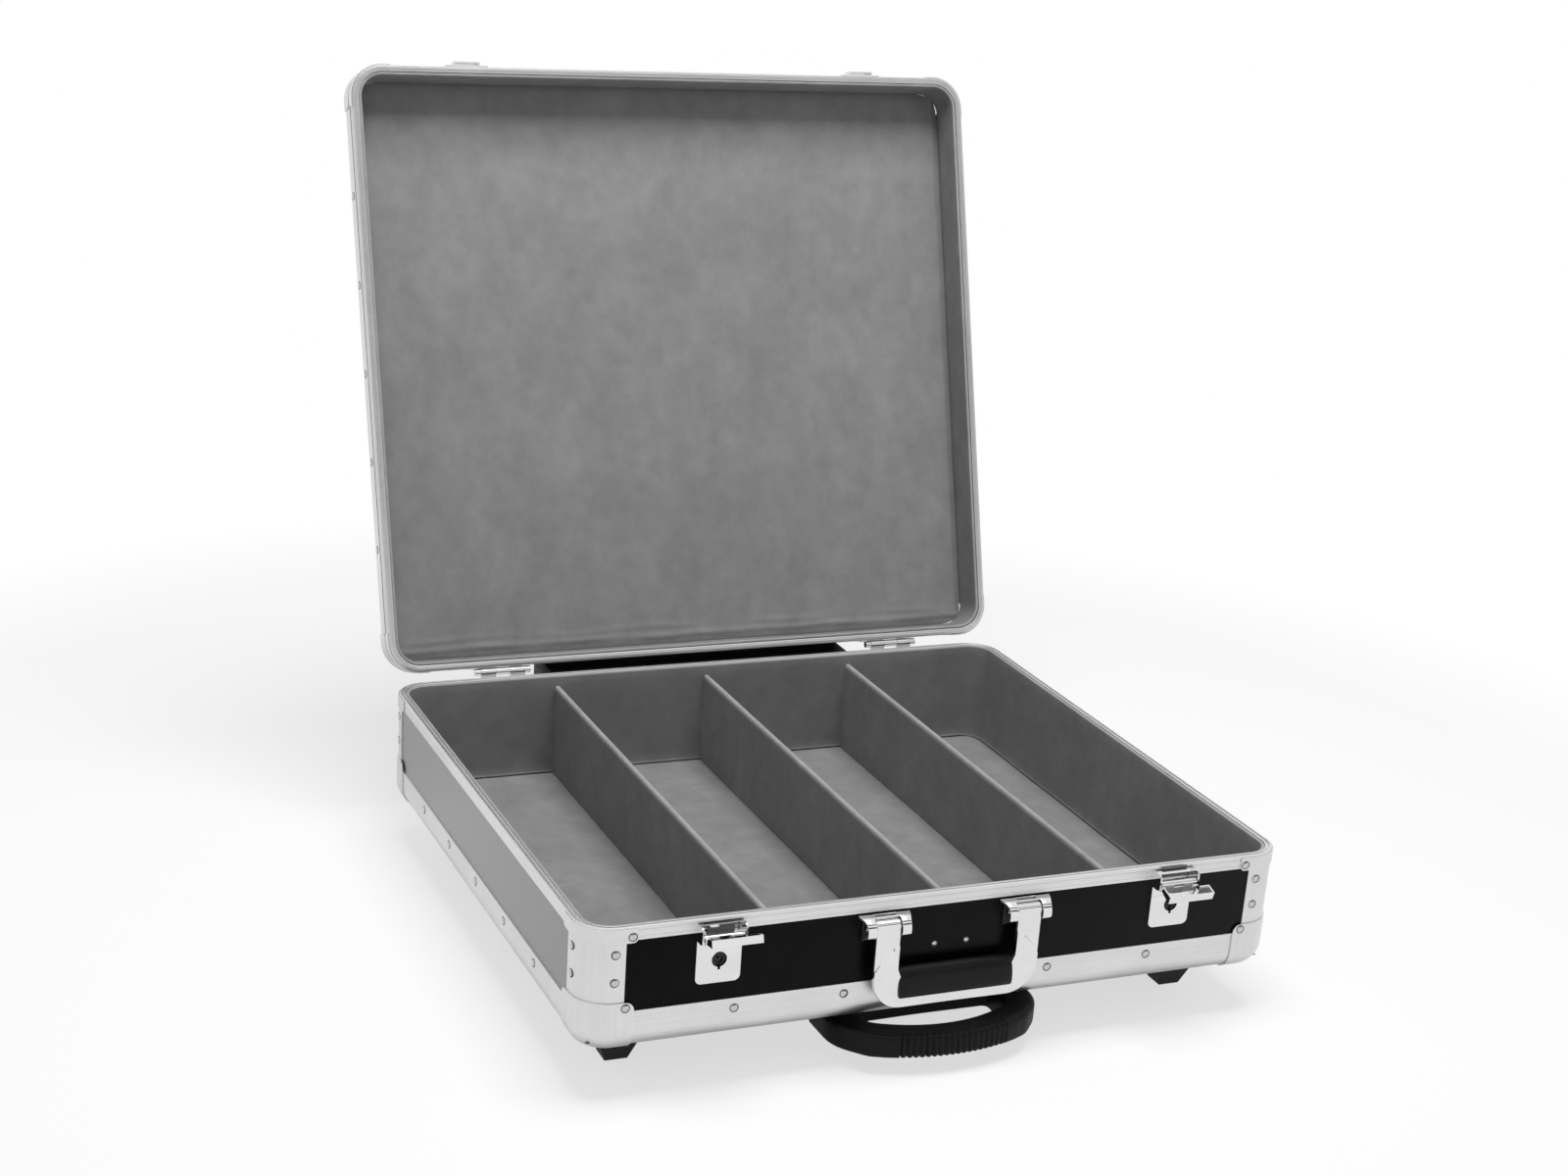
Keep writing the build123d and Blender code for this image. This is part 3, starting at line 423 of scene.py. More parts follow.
def addRim(name, place, top, base, up, grain, body, node):
    # Profiles are (inset, height) round the closed section, with heights up from the rim's own plane
    profile = rimLook["skirt"] + rimLook[top] + rimLook["inside"]
    points = []
    for inset, height in profile:
        for x, y in planPath(inset, rimLook["arcSteps"], 2):
            points.append(place(x, y, base + height * up))
    count = len(points) // len(profile)
    faces = loopFaces(len(profile), count, True, True, up < 0)
    rim = addPiece(name, points, faces, aluminium[grain], body, 25)
    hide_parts(node)


addRim("base_rim_channel", onBase, "top", 0.0, 1, "x", "base", "base_rim")
addRim("lid_rim_channel", onLid, "tongueTop", caseShape["lidGap"], -1, "lidRimPaintedShade", "lid", "lid_rim")
print("rims made")

# Pressed corner pieces: caps over the rounded edges and clamps over the rims

capLook = {
    "thickness": 1.2, "lift": 0.04, "earRadius": 7.0, "bevel": 0.35, "baseTop": -62.0, "baseReach": 42.0,
    "lidLow": 13.5, "lidReach": 37.0, "baseSteps": (34, 26), "lidSteps": (30, 22),
}
clampLook = {
    "thickness": 1.0, "lift": 0.02, "earRadius": 4.0, "bevel": 0.25, "baseSpan": (-1.3, -13.0), "baseReach": 43.0,
    "lidSpan": (1.7, 11.5), "baseSteps": (34, 8), "lidSteps": (30, 8),
}


def cornerPoint(along, inset, reach):
    # A point on the plan round one corner; along runs 0..1 over ear, bend and ear, in from the corner
    radius = caseShape["cornerRadius"]
    bend = max(radius, inset)
    ear = reach - radius
    arc = math.pi / 2 * radius
    travel = along * (2 * ear + arc)
    if travel < ear:
        return reach - (reach - bend) * travel / ear, inset
    if travel > ear + arc:
        return inset, bend + (reach - bend) * (travel - ear - arc) / ear
    turn = (travel - ear) / arc * math.pi / 2
    return bend - (bend - inset) * math.sin(turn), bend - (bend - inset) * math.cos(turn)


def roundEar(across, down, radius):
    # Moves points of a square ear onto a rounded one; both are lengths from the ear's edges
    if across >= radius or down >= radius:
        return across, down
    p, q = (radius - across) / radius, (radius - down) / radius
    return radius - radius * p * math.sqrt(1 - q * q / 2), radius - radius * q * math.sqrt(1 - p * p / 2)


def roundedEars(across, down, width, radius):
    # Share of the way round the corner and length down, with the sheet's four corners rounded
    travel = across * width
    nearLeft = travel < width / 2
    fromEar, down = roundEar(travel if nearLeft else width - travel, down, radius)
    return (fromEar if nearLeft else width - fromEar) / width, down


def sheetWidth(reach):
    # Length of a corner sheet from ear to ear round the bend
    return 2 * (reach - caseShape["cornerRadius"]) + math.pi / 2 * caseShape["cornerRadius"]


def shellPiece(name, surface, steps, signs, place, finish, body, bevel):
    # A closed sheet between surface(across, down, 0) inside and surface(across, down, 1) outside
    points = []
    acrossSteps, downSteps = steps
    for side in (1, 0):
        for r in range(downSteps + 1):
            for c in range(acrossSteps + 1):
                x, y, z = surface(c / acrossSteps, r / downSteps, side)
                points.append(place(signs[0] * (halfWidth - x), signs[1] * (halfDepth - y), z))
    faces = slabFaces(downSteps + 1, acrossSteps + 1, signs[0] * signs[1] < 0)
    piece = addPiece(name, points, faces, finish, body, 35)
    bevelEdges(piece, bevel)
    return piece


def capSurface(top, edgeCentre, edgeEnd, reach, direction):
    # Outer skin of a cap: down the wall, round the edge and in under it
    look = capLook
    radius = caseShape["edgeRadius"]
    wallLength = abs(top - edgeCentre)
    bendLength = math.pi / 2 * radius
    total = wallLength + bendLength + (reach - radius)
    width = sheetWidth(reach)

    def surface(across, down, side):
        grow = look["lift"] + side * (look["thickness"] - look["lift"])
        along, fall = roundedEars(across, down * total, width, look["earRadius"])
        if fall < wallLength:
            inset, height = -grow, top - direction * fall
        elif fall < wallLength + bendLength:
            turn = (fall - wallLength) / radius
            inset = radius - (radius + grow) * math.cos(turn)
            height = edgeCentre - direction * (radius + grow) * math.sin(turn)
        else:
            inset = radius + (fall - wallLength - bendLength)
            height = edgeEnd - direction * grow
        x, y = cornerPoint(along, inset, reach)
        return x, y, height

    return surface


def clampSurface(span, reach):
    # Skin of a clamp that stands on the rim's wall from span[1] to span[0]
    look = clampLook
    top, bottom = span
    width = sheetWidth(reach)
    height = abs(top - bottom)
    direction = 1 if top > bottom else -1

    def surface(across, down, side):
        grow = look["lift"] + side * (look["thickness"] - look["lift"])
        along, rise = roundedEars(across, (1 - down) * height, width, look["earRadius"])
        x, y = cornerPoint(along, -grow, reach)
        return x, y, bottom + direction * rise

    return surface


cornerSigns = {"front_left": (-1, -1), "front_right": (1, -1), "back_left": (-1, 1), "back_right": (1, 1)}
edge, lidTop = caseShape["edgeRadius"], caseShape["lidHeight"]
baseEnd = -caseShape["baseHeight"]
cornerSheets = (
    ("base_cap_", capSurface(capLook["baseTop"], baseEnd + edge, baseEnd, capLook["baseReach"], 1), "baseSteps",
     onBase, "z", "base", capLook, "base_corner_caps"),
    ("base_clamp_", clampSurface(clampLook["baseSpan"], clampLook["baseReach"]), "baseSteps",
     onBase, "x", "base", clampLook, "base_rim_clamps"),
    ("lid_cap_", capSurface(capLook["lidLow"], lidTop - edge, lidTop, capLook["lidReach"], -1), "lidSteps",
     onLid, "lidX", "lid", capLook, "lid_corner_fittings"),
    ("lid_clamp_", clampSurface(clampLook["lidSpan"], capLook["lidReach"]), "lidSteps",
     onLid, "lidX", "lid", clampLook, "lid_corner_fittings"),
)
for cornerName, signs in cornerSigns.items():
    for start, surface, steps, place, grain, body, look, node in cornerSheets:
        piece = shellPiece(start + cornerName, surface, look[steps], signs, place, aluminium[grain], body,
                           look["bevel"])
        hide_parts(node)
print("corner pieces made")

# The bent sheet behind the lid's corner caps, which closes the corner between rim and top

lidCornerLook = {"bottom": 1.9, "thickness": 4.8, "reach": 29.2, "under": 8.0, "steps": (24, 18), "bevel": 0.1}


def lidCornerSurface(across, down, side):
    look = lidCornerLook
    grow = -look["thickness"] * (1 - side)
    radius = caseShape["edgeRadius"]
    centre = caseShape["lidHeight"] - radius
    wallLength = centre - look["bottom"]
    bendLength = math.pi / 2 * radius
    fall = down * (wallLength + bendLength + look["under"])
    if fall < wallLength:
        inset, height = -grow, look["bottom"] + fall
    elif fall < wallLength + bendLength:
        turn = (fall - wallLength) / radius
        inset = radius - (radius + grow) * math.cos(turn)
        height = centre + (radius + grow) * math.sin(turn)
    else:
        inset, height = radius + fall - wallLength - bendLength, caseShape["lidHeight"] + grow
    x, y = cornerPoint(across, inset, look["reach"])
    return x, y, height


for cornerName, signs in cornerSigns.items():
    piece = shellPiece("lid_corner_" + cornerName, lidCornerSurface, lidCornerLook["steps"], signs, onLid,
                       aluminium["lidX"], "lid", lidCornerLook["bevel"])
    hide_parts("lid_corner_fittings")
print("lid corners made")

# Lining: velour over thin padding on the walls, floors, dividers and inside the lid

liningLook = {
    "wallTop": -0.75, "floor": -96.0, "waviness": 0.35, "wavePitch": 70.0, "floorDip": 1.6, "dipReach": 5.0,
    "floorUnder": 1.5, "floorLap": 0.4, "floorSteps": (110, 36), "dividerThickness": 5.0, "dividerTop": -10.4,
    "dividerRound": 2.4, "dividerEdge": 4.2, "dividerCount": 3, "dividerSteps": 120, "arcSteps": 8,
    "straightSteps": 70,
}


def wave(x, y, z, pitch, seed=0.0):
    return noise.noise(Vector((x / pitch + seed, y / pitch - seed, z / pitch + 2 * seed)))


def paintEdgeHighlight(piece, low, high, back=None):
    # The rounded edge of a lining, painted lighter as a painted highlight where it faces the light from above
    piece.data.materials.append(feltEdgeHighlight)
    for face in piece.data.polygons:
        centre = ((back @ face.center if back else face.center) - rimCentre) * 1000
        if low < centre.z < high:
            face.material_index = 1


def liningLip(edgeZ, down):
    # Profile over the upper edge of a wall lining, from its back to its face; down is -1 or 1 along z
    inner, outer = caseShape["lining"], caseShape["wall"] + 0.05
    return [(outer, edgeZ + 0.9 * down), (outer + 0.35, edgeZ + 0.25 * down), (outer + 1.1, edgeZ),
            (inner - 0.9, edgeZ + 0.1 * down), (inner - 0.25, edgeZ + 0.7 * down), (inner, edgeZ + 1.8 * down)]


def pressedIn(x, y, drift):
    # A point of a straight wall, moved in from it by drift
    fromX = drift * (abs(x) > halfWidth - 20) * math.copysign(1, x)
    fromY = drift * (abs(y) > halfDepth - 20) * math.copysign(1, y)
    return x - fromX, y - fromY


def addBaseWalls():
    look = liningLook
    inner, outer = caseShape["lining"], caseShape["wall"] + 0.05
    top, floor = look["wallTop"], look["floor"]
    profile = [(outer, -9.0)] + liningLip(top, -1)
    for step in range(1, 13):
        profile.append((inner, top - 1.8 + (floor + 2 - top + 1.8) * step / 12))
    profile += [(inner + 0.4, floor + 0.6), (inner + 1.6, floor - 0.3), (outer, floor - 0.6)]
    points = []
    for index, (inset, height) in enumerate(profile):
        for x, y in planPath(inset, look["arcSteps"], look["straightSteps"]):
            if 6 < index < len(profile) - 1:
                clouds = wave(x, y, height, look["wavePitch"]) + 0.5 * wave(x, y, height, 22.0, 3.0)
                x, y = pressedIn(x, y, look["waviness"] * (0.6 + clouds))
            points.append(onBase(x, y, height))
    faces = loopFaces(len(profile), len(points) // len(profile), True, True)
    walls = addPiece("base_wall_lining", points, faces, feltWallShaded, "base", 0)
    paintEdgeHighlight(walls, top - 1.0, 1000.0)
    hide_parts("base_liner_walls")


def addSlab(name, points, rows, columns, body, node):
    slab = addPiece(name, points, slabFaces(rows, columns), felt, body, 60)
    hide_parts(node)


def bayWidth():
    # Inner width of the base and of each row between the dividers
    width = 2 * (halfWidth - caseShape["lining"])
    count = liningLook["dividerCount"]
    return width, (width - count * liningLook["dividerThickness"]) / (count + 1)


def addBaseFloors():
    look = liningLook
    width, clear = bayWidth()
    lap = look["floorLap"]
    alongSteps, acrossSteps = look["floorSteps"]
    front, back = caseShape["lining"] - halfDepth - lap, halfDepth - caseShape["lining"] + lap
    for bay in range(look["dividerCount"] + 1):
        left = -width / 2 + bay * (clear + look["dividerThickness"]) - lap
        right = left + clear + 2 * lap
        points = []
        for layer in (1, 0):
            for r in range(alongSteps + 1):
                for c in range(acrossSteps + 1):
                    share = 0.5 - 0.5 * math.cos(math.pi * c / acrossSteps)  # closer rows near the edges
                    x, y = left + (right - left) * share, front + (back - front) * (r / alongSteps)
                    z = look["floor"] - look["floorUnder"]
                    if layer:
                        away = min(x - left, right - x, y - front, back - y)
                        z = look["floor"] - look["floorDip"] * math.exp(-away / look["dipReach"])
                        z += 0.25 * wave(x, y, 0, 55.0, bay + 1.0) + 0.12 * wave(x, y, 0, 14.0, bay + 5.0)
                    points.append(onBase(x, y, z))
        addSlab(f"floor_lining_{bay + 1}", points, alongSteps + 1, acrossSteps + 1, "base", "base_liner_floor")


def addDividers():
    look = liningLook
    width, clear = bayWidth()
    thick, top, bend = look["dividerThickness"], look["dividerTop"], look["dividerRound"]
    low, high = look["floor"] - 1, top - look["dividerEdge"]
    section = [(-thick / 2, low + (high - low) * step / 11) for step in range(12)] + [(-thick / 2, top - bend)]
    for step in range(1, 9):
        turn = math.pi * step / 9
        section.append((-thick / 2 * math.cos(turn), top - bend + bend * math.sin(turn)))
    section += [(-x, z) for x, z in section[12::-1]]
    columns, alongSteps = len(section), look["dividerSteps"]
    for number in range(look["dividerCount"]):
        centre = -width / 2 + clear + thick / 2 + number * (clear + thick)
        points = []
        for r in range(alongSteps + 1):
            y = (halfDepth - caseShape["lining"]) * (2 * r / alongSteps - 1)
            bow = 0.5 * wave(0, y, 0, 160.0, number + 8.0)
            for x, z in section:
                drift = 0.18 * wave(x * 4, y, z, 30.0, number + 2.0)
                points.append(onBase(centre + bow + x + drift * math.copysign(1, x), y, z))
        faces = tubeFaces(alongSteps + 1, columns, True)
        piece = addPiece(f"divider_board_{number + 1}", points, faces, feltWallShaded, "base", 50)
        paintEdgeHighlight(piece, high, 1000.0)
        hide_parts(f"divider_{number + 1}")


addBaseWalls()
addBaseFloors()
addDividers()
print("base lining made")

lidLiningLook = {
    "edge": 1.05, "floor": 36.0, "arcSteps": 10, "straightSteps": 80, "waviness": 0.45, "floorInset": 7.6,
    "floorUnder": 2.0, "steps": 150, "dip": 1.5, "dipReach": 4.0, "foldHeight": 1.5,
    "folds": [  # wall, place from it with drift, pitch and seed, height's share, base, swing, pitch and seed, width
        ("hinge", (9.0, 2.5, 60.0, 1.0), (1.0, 0.6, 0.6, 45.0, 6.0), 3.0),
        ("hinge", (17.0, 3.0, 80.0, 9.0), (0.7, 0.4, 1.0, 70.0, 12.0), 2.6),
        ("right", (7.0, 2.0, 50.0, 2.0), (0.8, 0.5, 0.7, 40.0, 3.0), 2.4),
    ],
}


def lidFloorHeight(x, y):
    # The lid's padded floor: gentle clouds, a dip along the walls and long folds by the hinge and right walls
    look = lidLiningLook
    inner = caseShape["lining"]
    height = look["floor"] - 0.3 * wave(x, y, 0, 90.0, 4.0) - 0.12 * wave(x, y, 0, 25.0, 7.0)
    away = min(halfWidth - inner - abs(x), halfDepth - inner - abs(y))
    height += look["dip"] * math.exp(-max(away, 0.0) / look["dipReach"])
    walls = {"hinge": (halfDepth - inner - y, x, 0), "right": (halfWidth - inner - x, 0, y)}
    for wall, (place, drift, pitch, seed), (share, base, swing, highPitch, highSeed), width in look["folds"]:
        away, across, down = walls[wall]
        middle = place + drift * wave(across, down, 0, pitch, seed)
        high = share * look["foldHeight"] * max(0.0, base + swing * wave(across, down, 0, highPitch, highSeed))
        height -= high * math.exp(-((away - middle) / width) ** 2)
    return height


def addLidWalls():
    look = lidLiningLook
    inner, outer = caseShape["lining"], caseShape["wall"] + 0.05
    edgeZ, floor = look["edge"], look["floor"]
    profile = [(outer, floor + 1.0)] + liningLip(edgeZ, 1)
    for step in range(1, 10):
        profile.append((inner, edgeZ + 1.8 + (floor + 0.8 - edgeZ - 1.8) * step / 9))
    points = []
    for index, (inset, height) in enumerate(profile):
        for x, y in planPath(inset, look["arcSteps"], look["straightSteps"]):
            if index > 6:
                clouds = wave(x, y, height * 2, 60.0, 11.0) + 0.5 * wave(x, y, height * 2, 18.0, 13.0)
                x, y = pressedIn(x, y, look["waviness"] * (0.6 + clouds))
            points.append(onLid(x, y, height))
    faces = loopFaces(len(profile), len(points) // len(profile), True, True, True)
    walls = addPiece("lid_wall_lining", points, faces, feltWallShaded, "lid", 0)
    paintEdgeHighlight(walls, -5.0, edgeZ + 1.0, lidOpened.inverted())
    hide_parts("lid_liner")


def addLidFloor():
    look = lidLiningLook
    inset, steps = look["floorInset"], look["steps"]
    spanX, spanY = 2 * (halfWidth - inset), 2 * (halfDepth - inset)
    radius = caseShape["cornerRadius"] - inset
    points = []
    for layer in (0, 1):
        for r in range(steps + 1):
            for c in range(steps + 1):
                across = spanX * (0.5 - 0.5 * math.cos(math.pi * c / steps))
                down = spanY * (0.5 - 0.5 * math.cos(math.pi * r / steps))
                left, low = across < spanX / 2, down < spanY / 2
                ax, ay = roundEar(across if left else spanX - across, down if low else spanY - down, radius)
                x = (ax if left else spanX - ax) - spanX / 2
                y = (ay if low else spanY - ay) - spanY / 2
                z = look["floor"] + look["floorUnder"] if layer else lidFloorHeight(x, y)
                points.append(onLid(x, y, z))
    addSlab("lid_floor_lining", points, steps + 1, steps + 1, "lid", "lid_liner")


addLidWalls()
addLidFloor()
print("lid lining made")

# Carry handle: two pressed brackets, a chrome strap and the grip it holds

bracketLook = {
    "side": 61.6, "halfBack": 22.0, "halfFront": 18.5, "mouth": 10.9, "thickness": 2.0, "bevel": 0.45,
    "profile": [
        (0.1, -12.2), (2.2, -12.3), (5.2, -12.6), (7.0, -12.9), (9.5, -13.8), (12.0, -15.4), (13.8, -17.6),
        (14.9, -20.4), (15.3, -23.2), (15.0, -25.6), (14.0, -27.2), (12.4, -27.8),
    ],
    "slotHalf": 9.0, "slotRow": 1, "mouthRow": 3, "cheekThickness": 1.6, "cheekBevel": 0.3,
    "cheek": [(0.1, -14.5), (10.0, -15.5), (12.6, -19.0), (12.8, -24.0), (9.0, -29.0), (0.1, -35.0)],
    "pinOut": 8.0, "pinDrop": 20.0,
}


def onFront(x, out, z):
    return onBase(x, -halfDepth - out, z)


def addBracket(side, sign):
    look = bracketLook
    centre = sign * look["side"]
    profile = look["profile"]
    reach = profile[7][0]
    mouth, slotHalf = look["mouth"], look["slotHalf"]
    points, faces = [], []
    columns = (-1.0, -mouth, -slotHalf, slotHalf, mouth, 1.0)
    for out, z in profile:
        share = min(1.0, out / reach)
        half = look["halfBack"] + (look["halfFront"] - look["halfBack"]) * (3 * share ** 2 - 2 * share ** 3)
        for c in columns:
            points.append(onFront(centre + (c * half if abs(c) == 1.0 else c), out, z))
    width = len(columns)
    for r in range(len(profile) - 1):
        for c in range(width - 1):
            inMouth = r >= look["mouthRow"] and c in (1, 2, 3)
            inSlot = r == look["slotRow"] and c == 2
            if not inMouth and not inSlot:
                faces.append((r * width + c, r * width + c + 1, (r + 1) * width + c + 1, (r + 1) * width + c))
    plate = addPiece("bracket_plate_" + side, points, faces, chrome, "base", 50)
    sheet = plate.modifiers.new("sheet", "SOLIDIFY")
    sheet.thickness = look["thickness"] / 1000
    sheet.offset = 1.0
    bevelEdges(plate, look["bevel"], 3)
    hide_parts("handle_bracket_" + side)
    for number, inside in enumerate((-look["halfFront"] + 1.0, look["halfFront"] - 2.6)):
        sides = (0, look["cheekThickness"])
        points = [onFront(centre + inside + step, out, z) for step in sides for out, z in look["cheek"]]
        count = len(look["cheek"])
        faces = [tuple(range(count)), tuple(range(2 * count - 1, count - 1, -1))]
        faces += [(i, i + count, (i + 1) % count + count, (i + 1) % count) for i in range(count)]
        cheek = addPiece(f"bracket_cheek_{side}_{number + 1}", points, faces, tubeSteel, "base", 30)
        bevelEdges(cheek, look["cheekBevel"])
        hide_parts("handle_bracket_" + side)


strapLook = {
    "side": 61.6, "armWidth": 20.6, "armTop": -20.0, "wider": 3.4, "widerBelow": (-56.0, 8.0), "front": 13.2,
    "thickness": 3.6, "round": 1.1, "raise": 1.1, "barrel": 5.2, "barrelSteps": 32, "corner": 26.0,
    "innerCorner": 3.2, "cornerSteps": 14, "low": -90.0, "band": 9.0, "crease": (-35.0, -0.467, -0.0296),
}


def strapCuts():
    # Cuts through the left half of the strap, from its arm's top to the middle of the band. A cut of the
    # arm is a share of its length above or below the pressed crease; any other joins two points (x, z)
    look = strapLook
    outer, inner = -look["side"] - look["armWidth"] / 2, -look["side"] + look["armWidth"] / 2
    turnZ, bandTop, bend = look["low"] + look["corner"], look["low"] + look["band"], look["innerCorner"]
    cuts = [("above", step / 8, 0.0) for step in range(9)] + [("below", 0.06, 1.0)]
    cuts += [("below", step / 8, 1.0) for step in range(1, 8)]
    steps = look["cornerSteps"]
    insideX = inner + look["wider"]
    for step in range(steps + 1):
        turn = math.pi / 2 * step / steps
        start = (outer + look["corner"] * (1 - math.cos(turn)), turnZ - look["corner"] * math.sin(turn))
        if step < steps * 0.6:
            share = step / (steps * 0.6)
            end = (insideX, turnZ + (bandTop + bend - turnZ) * share)
        else:
            turn = math.pi / 2 * (step - steps * 0.6) / (steps * 0.4)
            end = (insideX + bend * (1 - math.cos(turn)), bandTop + bend * (1 - math.sin(turn)))
        cuts.append((start, end, 1.0))
    startX, endX = outer + look["corner"], insideX + bend
    for step in range(1, 5):
        share = step / 4
        cuts.append(((startX - startX * share, look["low"]), (endX - endX * share, bandTop), 1.0))
    return cuts, outer, inner, turnZ


def strapSection(width):
    # Lengths across the strap from its outer edge, each with its depth out from the case
    r, front = strapLook["round"], strapLook["front"]
    back = front - strapLook["thickness"]
    ring = [(0.0, back + r), (0.0, front - r), (0.3 * r, front - 0.3 * r), (r, front)]
    ring += [(r + (width - 2 * r) * step / 8, front) for step in range(1, 8)]
    ring += [(width - r, front), (width - 0.3 * r, front - 0.3 * r), (width, front - r), (width, back + r)]
    return ring + [(width - r, back), (r, back)]


def addStrap():
    look = strapLook
    cuts, outer, inner, turnZ = strapCuts()
    creaseTop, slope, curve = look["crease"]
    widerFrom, widerLength = look["widerBelow"]

    def ringAt(cut, sign):
        first, second, raised = cut
        onArm = isinstance(first, str)
        width = inner - outer if onArm else math.hypot(second[0] - first[0], second[1] - first[1])
        ring = []
        for across, out in strapSection(width):
            if onArm:
                fromInner = width - across
                crease = creaseTop + slope * fromInner + curve * fromInner ** 2
                start, end = (look["armTop"], crease) if first == "above" else (crease, turnZ)
                z = start + (end - start) * second
                wider = look["wider"] * min(1.0, max(0.0, (widerFrom - z) / widerLength))
                x = outer + across + wider * max(0.0, 1 - fromInner / 6.0)
            else:
                share = across / width
                x, z = (first[k] + (second[k] - first[k]) * share for k in (0, 1))
            if out > look["front"] - look["round"]:
                out += look["raise"] * raised
            ring.append(onFront(sign * x, out, z))
        return ring

    rings = [ringAt(cut, 1) for cut in cuts] + [ringAt(cut, -1) for cut in cuts[-2::-1]]
    points = [point for ring in rings for point in ring]
    faces = tubeFaces(len(rings), len(rings[0]), True)
    strap = addPiece("handle_strap", points, faces, chrome, "carry_handle", 38)
    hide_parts("handle_frame")


def addKnuckle(side, sign):
    # The arm's rolled end round its pin
    look = strapLook
    radius, half, steps = look["barrel"], look["armWidth"] / 2, look["barrelSteps"]
    points = []
    for x, size in ((-half, radius - 0.7), (-half + 0.7, radius), (half - 0.7, radius), (half, radius - 0.7)):
        for step in range(steps):
            turn = math.tau * step / steps
            out, z = bracketLook["pinOut"] + size * math.cos(turn), -bracketLook["pinDrop"] + size * math.sin(turn)
            points.append(onFront(sign * look["side"] + x, out, z))
    faces = tubeFaces(4, steps, True)
    knuckle = addPiece("handle_knuckle_" + side, points, faces, chrome, "carry_handle", 30)
    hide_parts("handle_frame")


gripLook = {
    "half": 49.5, "middle": (10.2, -70.0), "ends": ((0.0, 1.4), (0.4, 0.5), (1.4, 0.0)),
    "section": [
        (3.6, -81.4), (9.5, -81.6), (15.2, -81.4), (16.6, -80.2), (17.2, -77.0), (17.2, -73.0), (16.7, -69.0),
        (15.6, -65.2), (13.8, -61.8), (11.4, -59.0), (8.6, -57.3), (6.2, -57.0), (4.4, -58.2), (3.4, -60.6),
        (3.2, -66.0), (3.3, -74.0), (3.3, -80.6),
    ],
}


def addGrip():
    look = gripLook
    middle = look["middle"]
    points = []
    stations = [(-look["half"] + inside, shrink) for inside, shrink in look["ends"]]
    stations += [(look["half"] * (step / 6 - 1) * 0.96, 0.0) for step in range(1, 12)]
    stations += [(-x, shrink) for x, shrink in stations[2::-1]]
    for x, shrink in stations:
        for out, z in look["section"]:
            length = math.hypot(out - middle[0], z - middle[1])
            share = (length - shrink) / length
            points.append(onFront(x, middle[0] + (out - middle[0]) * share, middle[1] + (z - middle[1]) * share))
    faces = tubeFaces(len(stations), len(look["section"]))
    grip = addPiece("handle_grip_moulding", points, faces, handlePlastic, "carry_handle", 50)
    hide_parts("handle_grip")


for side, sign in (("left", -1), ("right", 1)):
    addBracket(side, sign)
addStrap()
for side, sign in (("left", -1), ("right", 1)):
    addKnuckle(side, sign)
addGrip()
print("carry handle made")

# Trolley grip: a smooth moulded loop with fine ribs round its front

loopLook = {
    "half": 92.5, "back": 214.0, "sideFront": 262.0, "shoulder": (70.0, 287.6), "front": 303.0,
    "sideBend": 16.0, "shoulderBend": 6.0, "slotBends": (7.0, 6.0), "archHalf": 60.0,
    "slotHalf": 62.0, "slotBack": 229.5, "slotSide": 263.0, "slotFront": 281.0,
    "top": -112.0, "bottom": -132.0, "outerRound": 4.2, "innerRound": 2.5,
    "ribs": 18, "ribSpan": 94.0, "ribDepth": 2.2, "ribRise": 0.4, "ribFade": (3.0, 4.0),
    "frontSteps": 240, "sideSteps": 28, "backSteps": 30,
}


def spread(path, count):
    # count + 1 points at even lengths along a chain of points
    lengths = [0.0]
    for a, b in zip(path, path[1:]):
        lengths.append(lengths[-1] + math.dist(a, b))
    made = []
    index = 0
    for step in range(count + 1):
        target = lengths[-1] * step / count
        while index < len(path) - 2 and lengths[index + 1] < target:
            index += 1
        span = lengths[index + 1] - lengths[index]
        share = (target - lengths[index]) / span if span else 0.0
        a, b = path[index], path[index + 1]
        made.append((a[0] + (b[0] - a[0]) * share, a[1] + (b[1] - a[1]) * share))
    return made


def bow(half, ends, middle, count=60):
    # A shallow arch from -half to half, ends and middle measured out from the case's middle
    rise = middle - ends
    radius = (half * half + rise * rise) / (2 * rise)
    across = [half * (2 * i / count - 1) for i in range(count + 1)]
    return [(x, middle - radius + math.sqrt(radius ** 2 - x ** 2)) for x in across]


def softCorner(a, corner, b, size, count=10):
    # A curved corner between two straight runs
    def toward(target):
        length = math.dist(corner, target)
        return tuple(corner[k] + (target[k] - corner[k]) * size / length for k in (0, 1))

    start, end = toward(a), toward(b)
    path = []
    for step in range(count + 1):
        t = step / count
        path.append(tuple((1 - t) ** 2 * start[k] + 2 * t * (1 - t) * corner[k] + t ** 2 * end[k] for k in (0, 1)))
    return path


def mirrored(path):
    return [(-x, y) for x, y in path[::-1]]


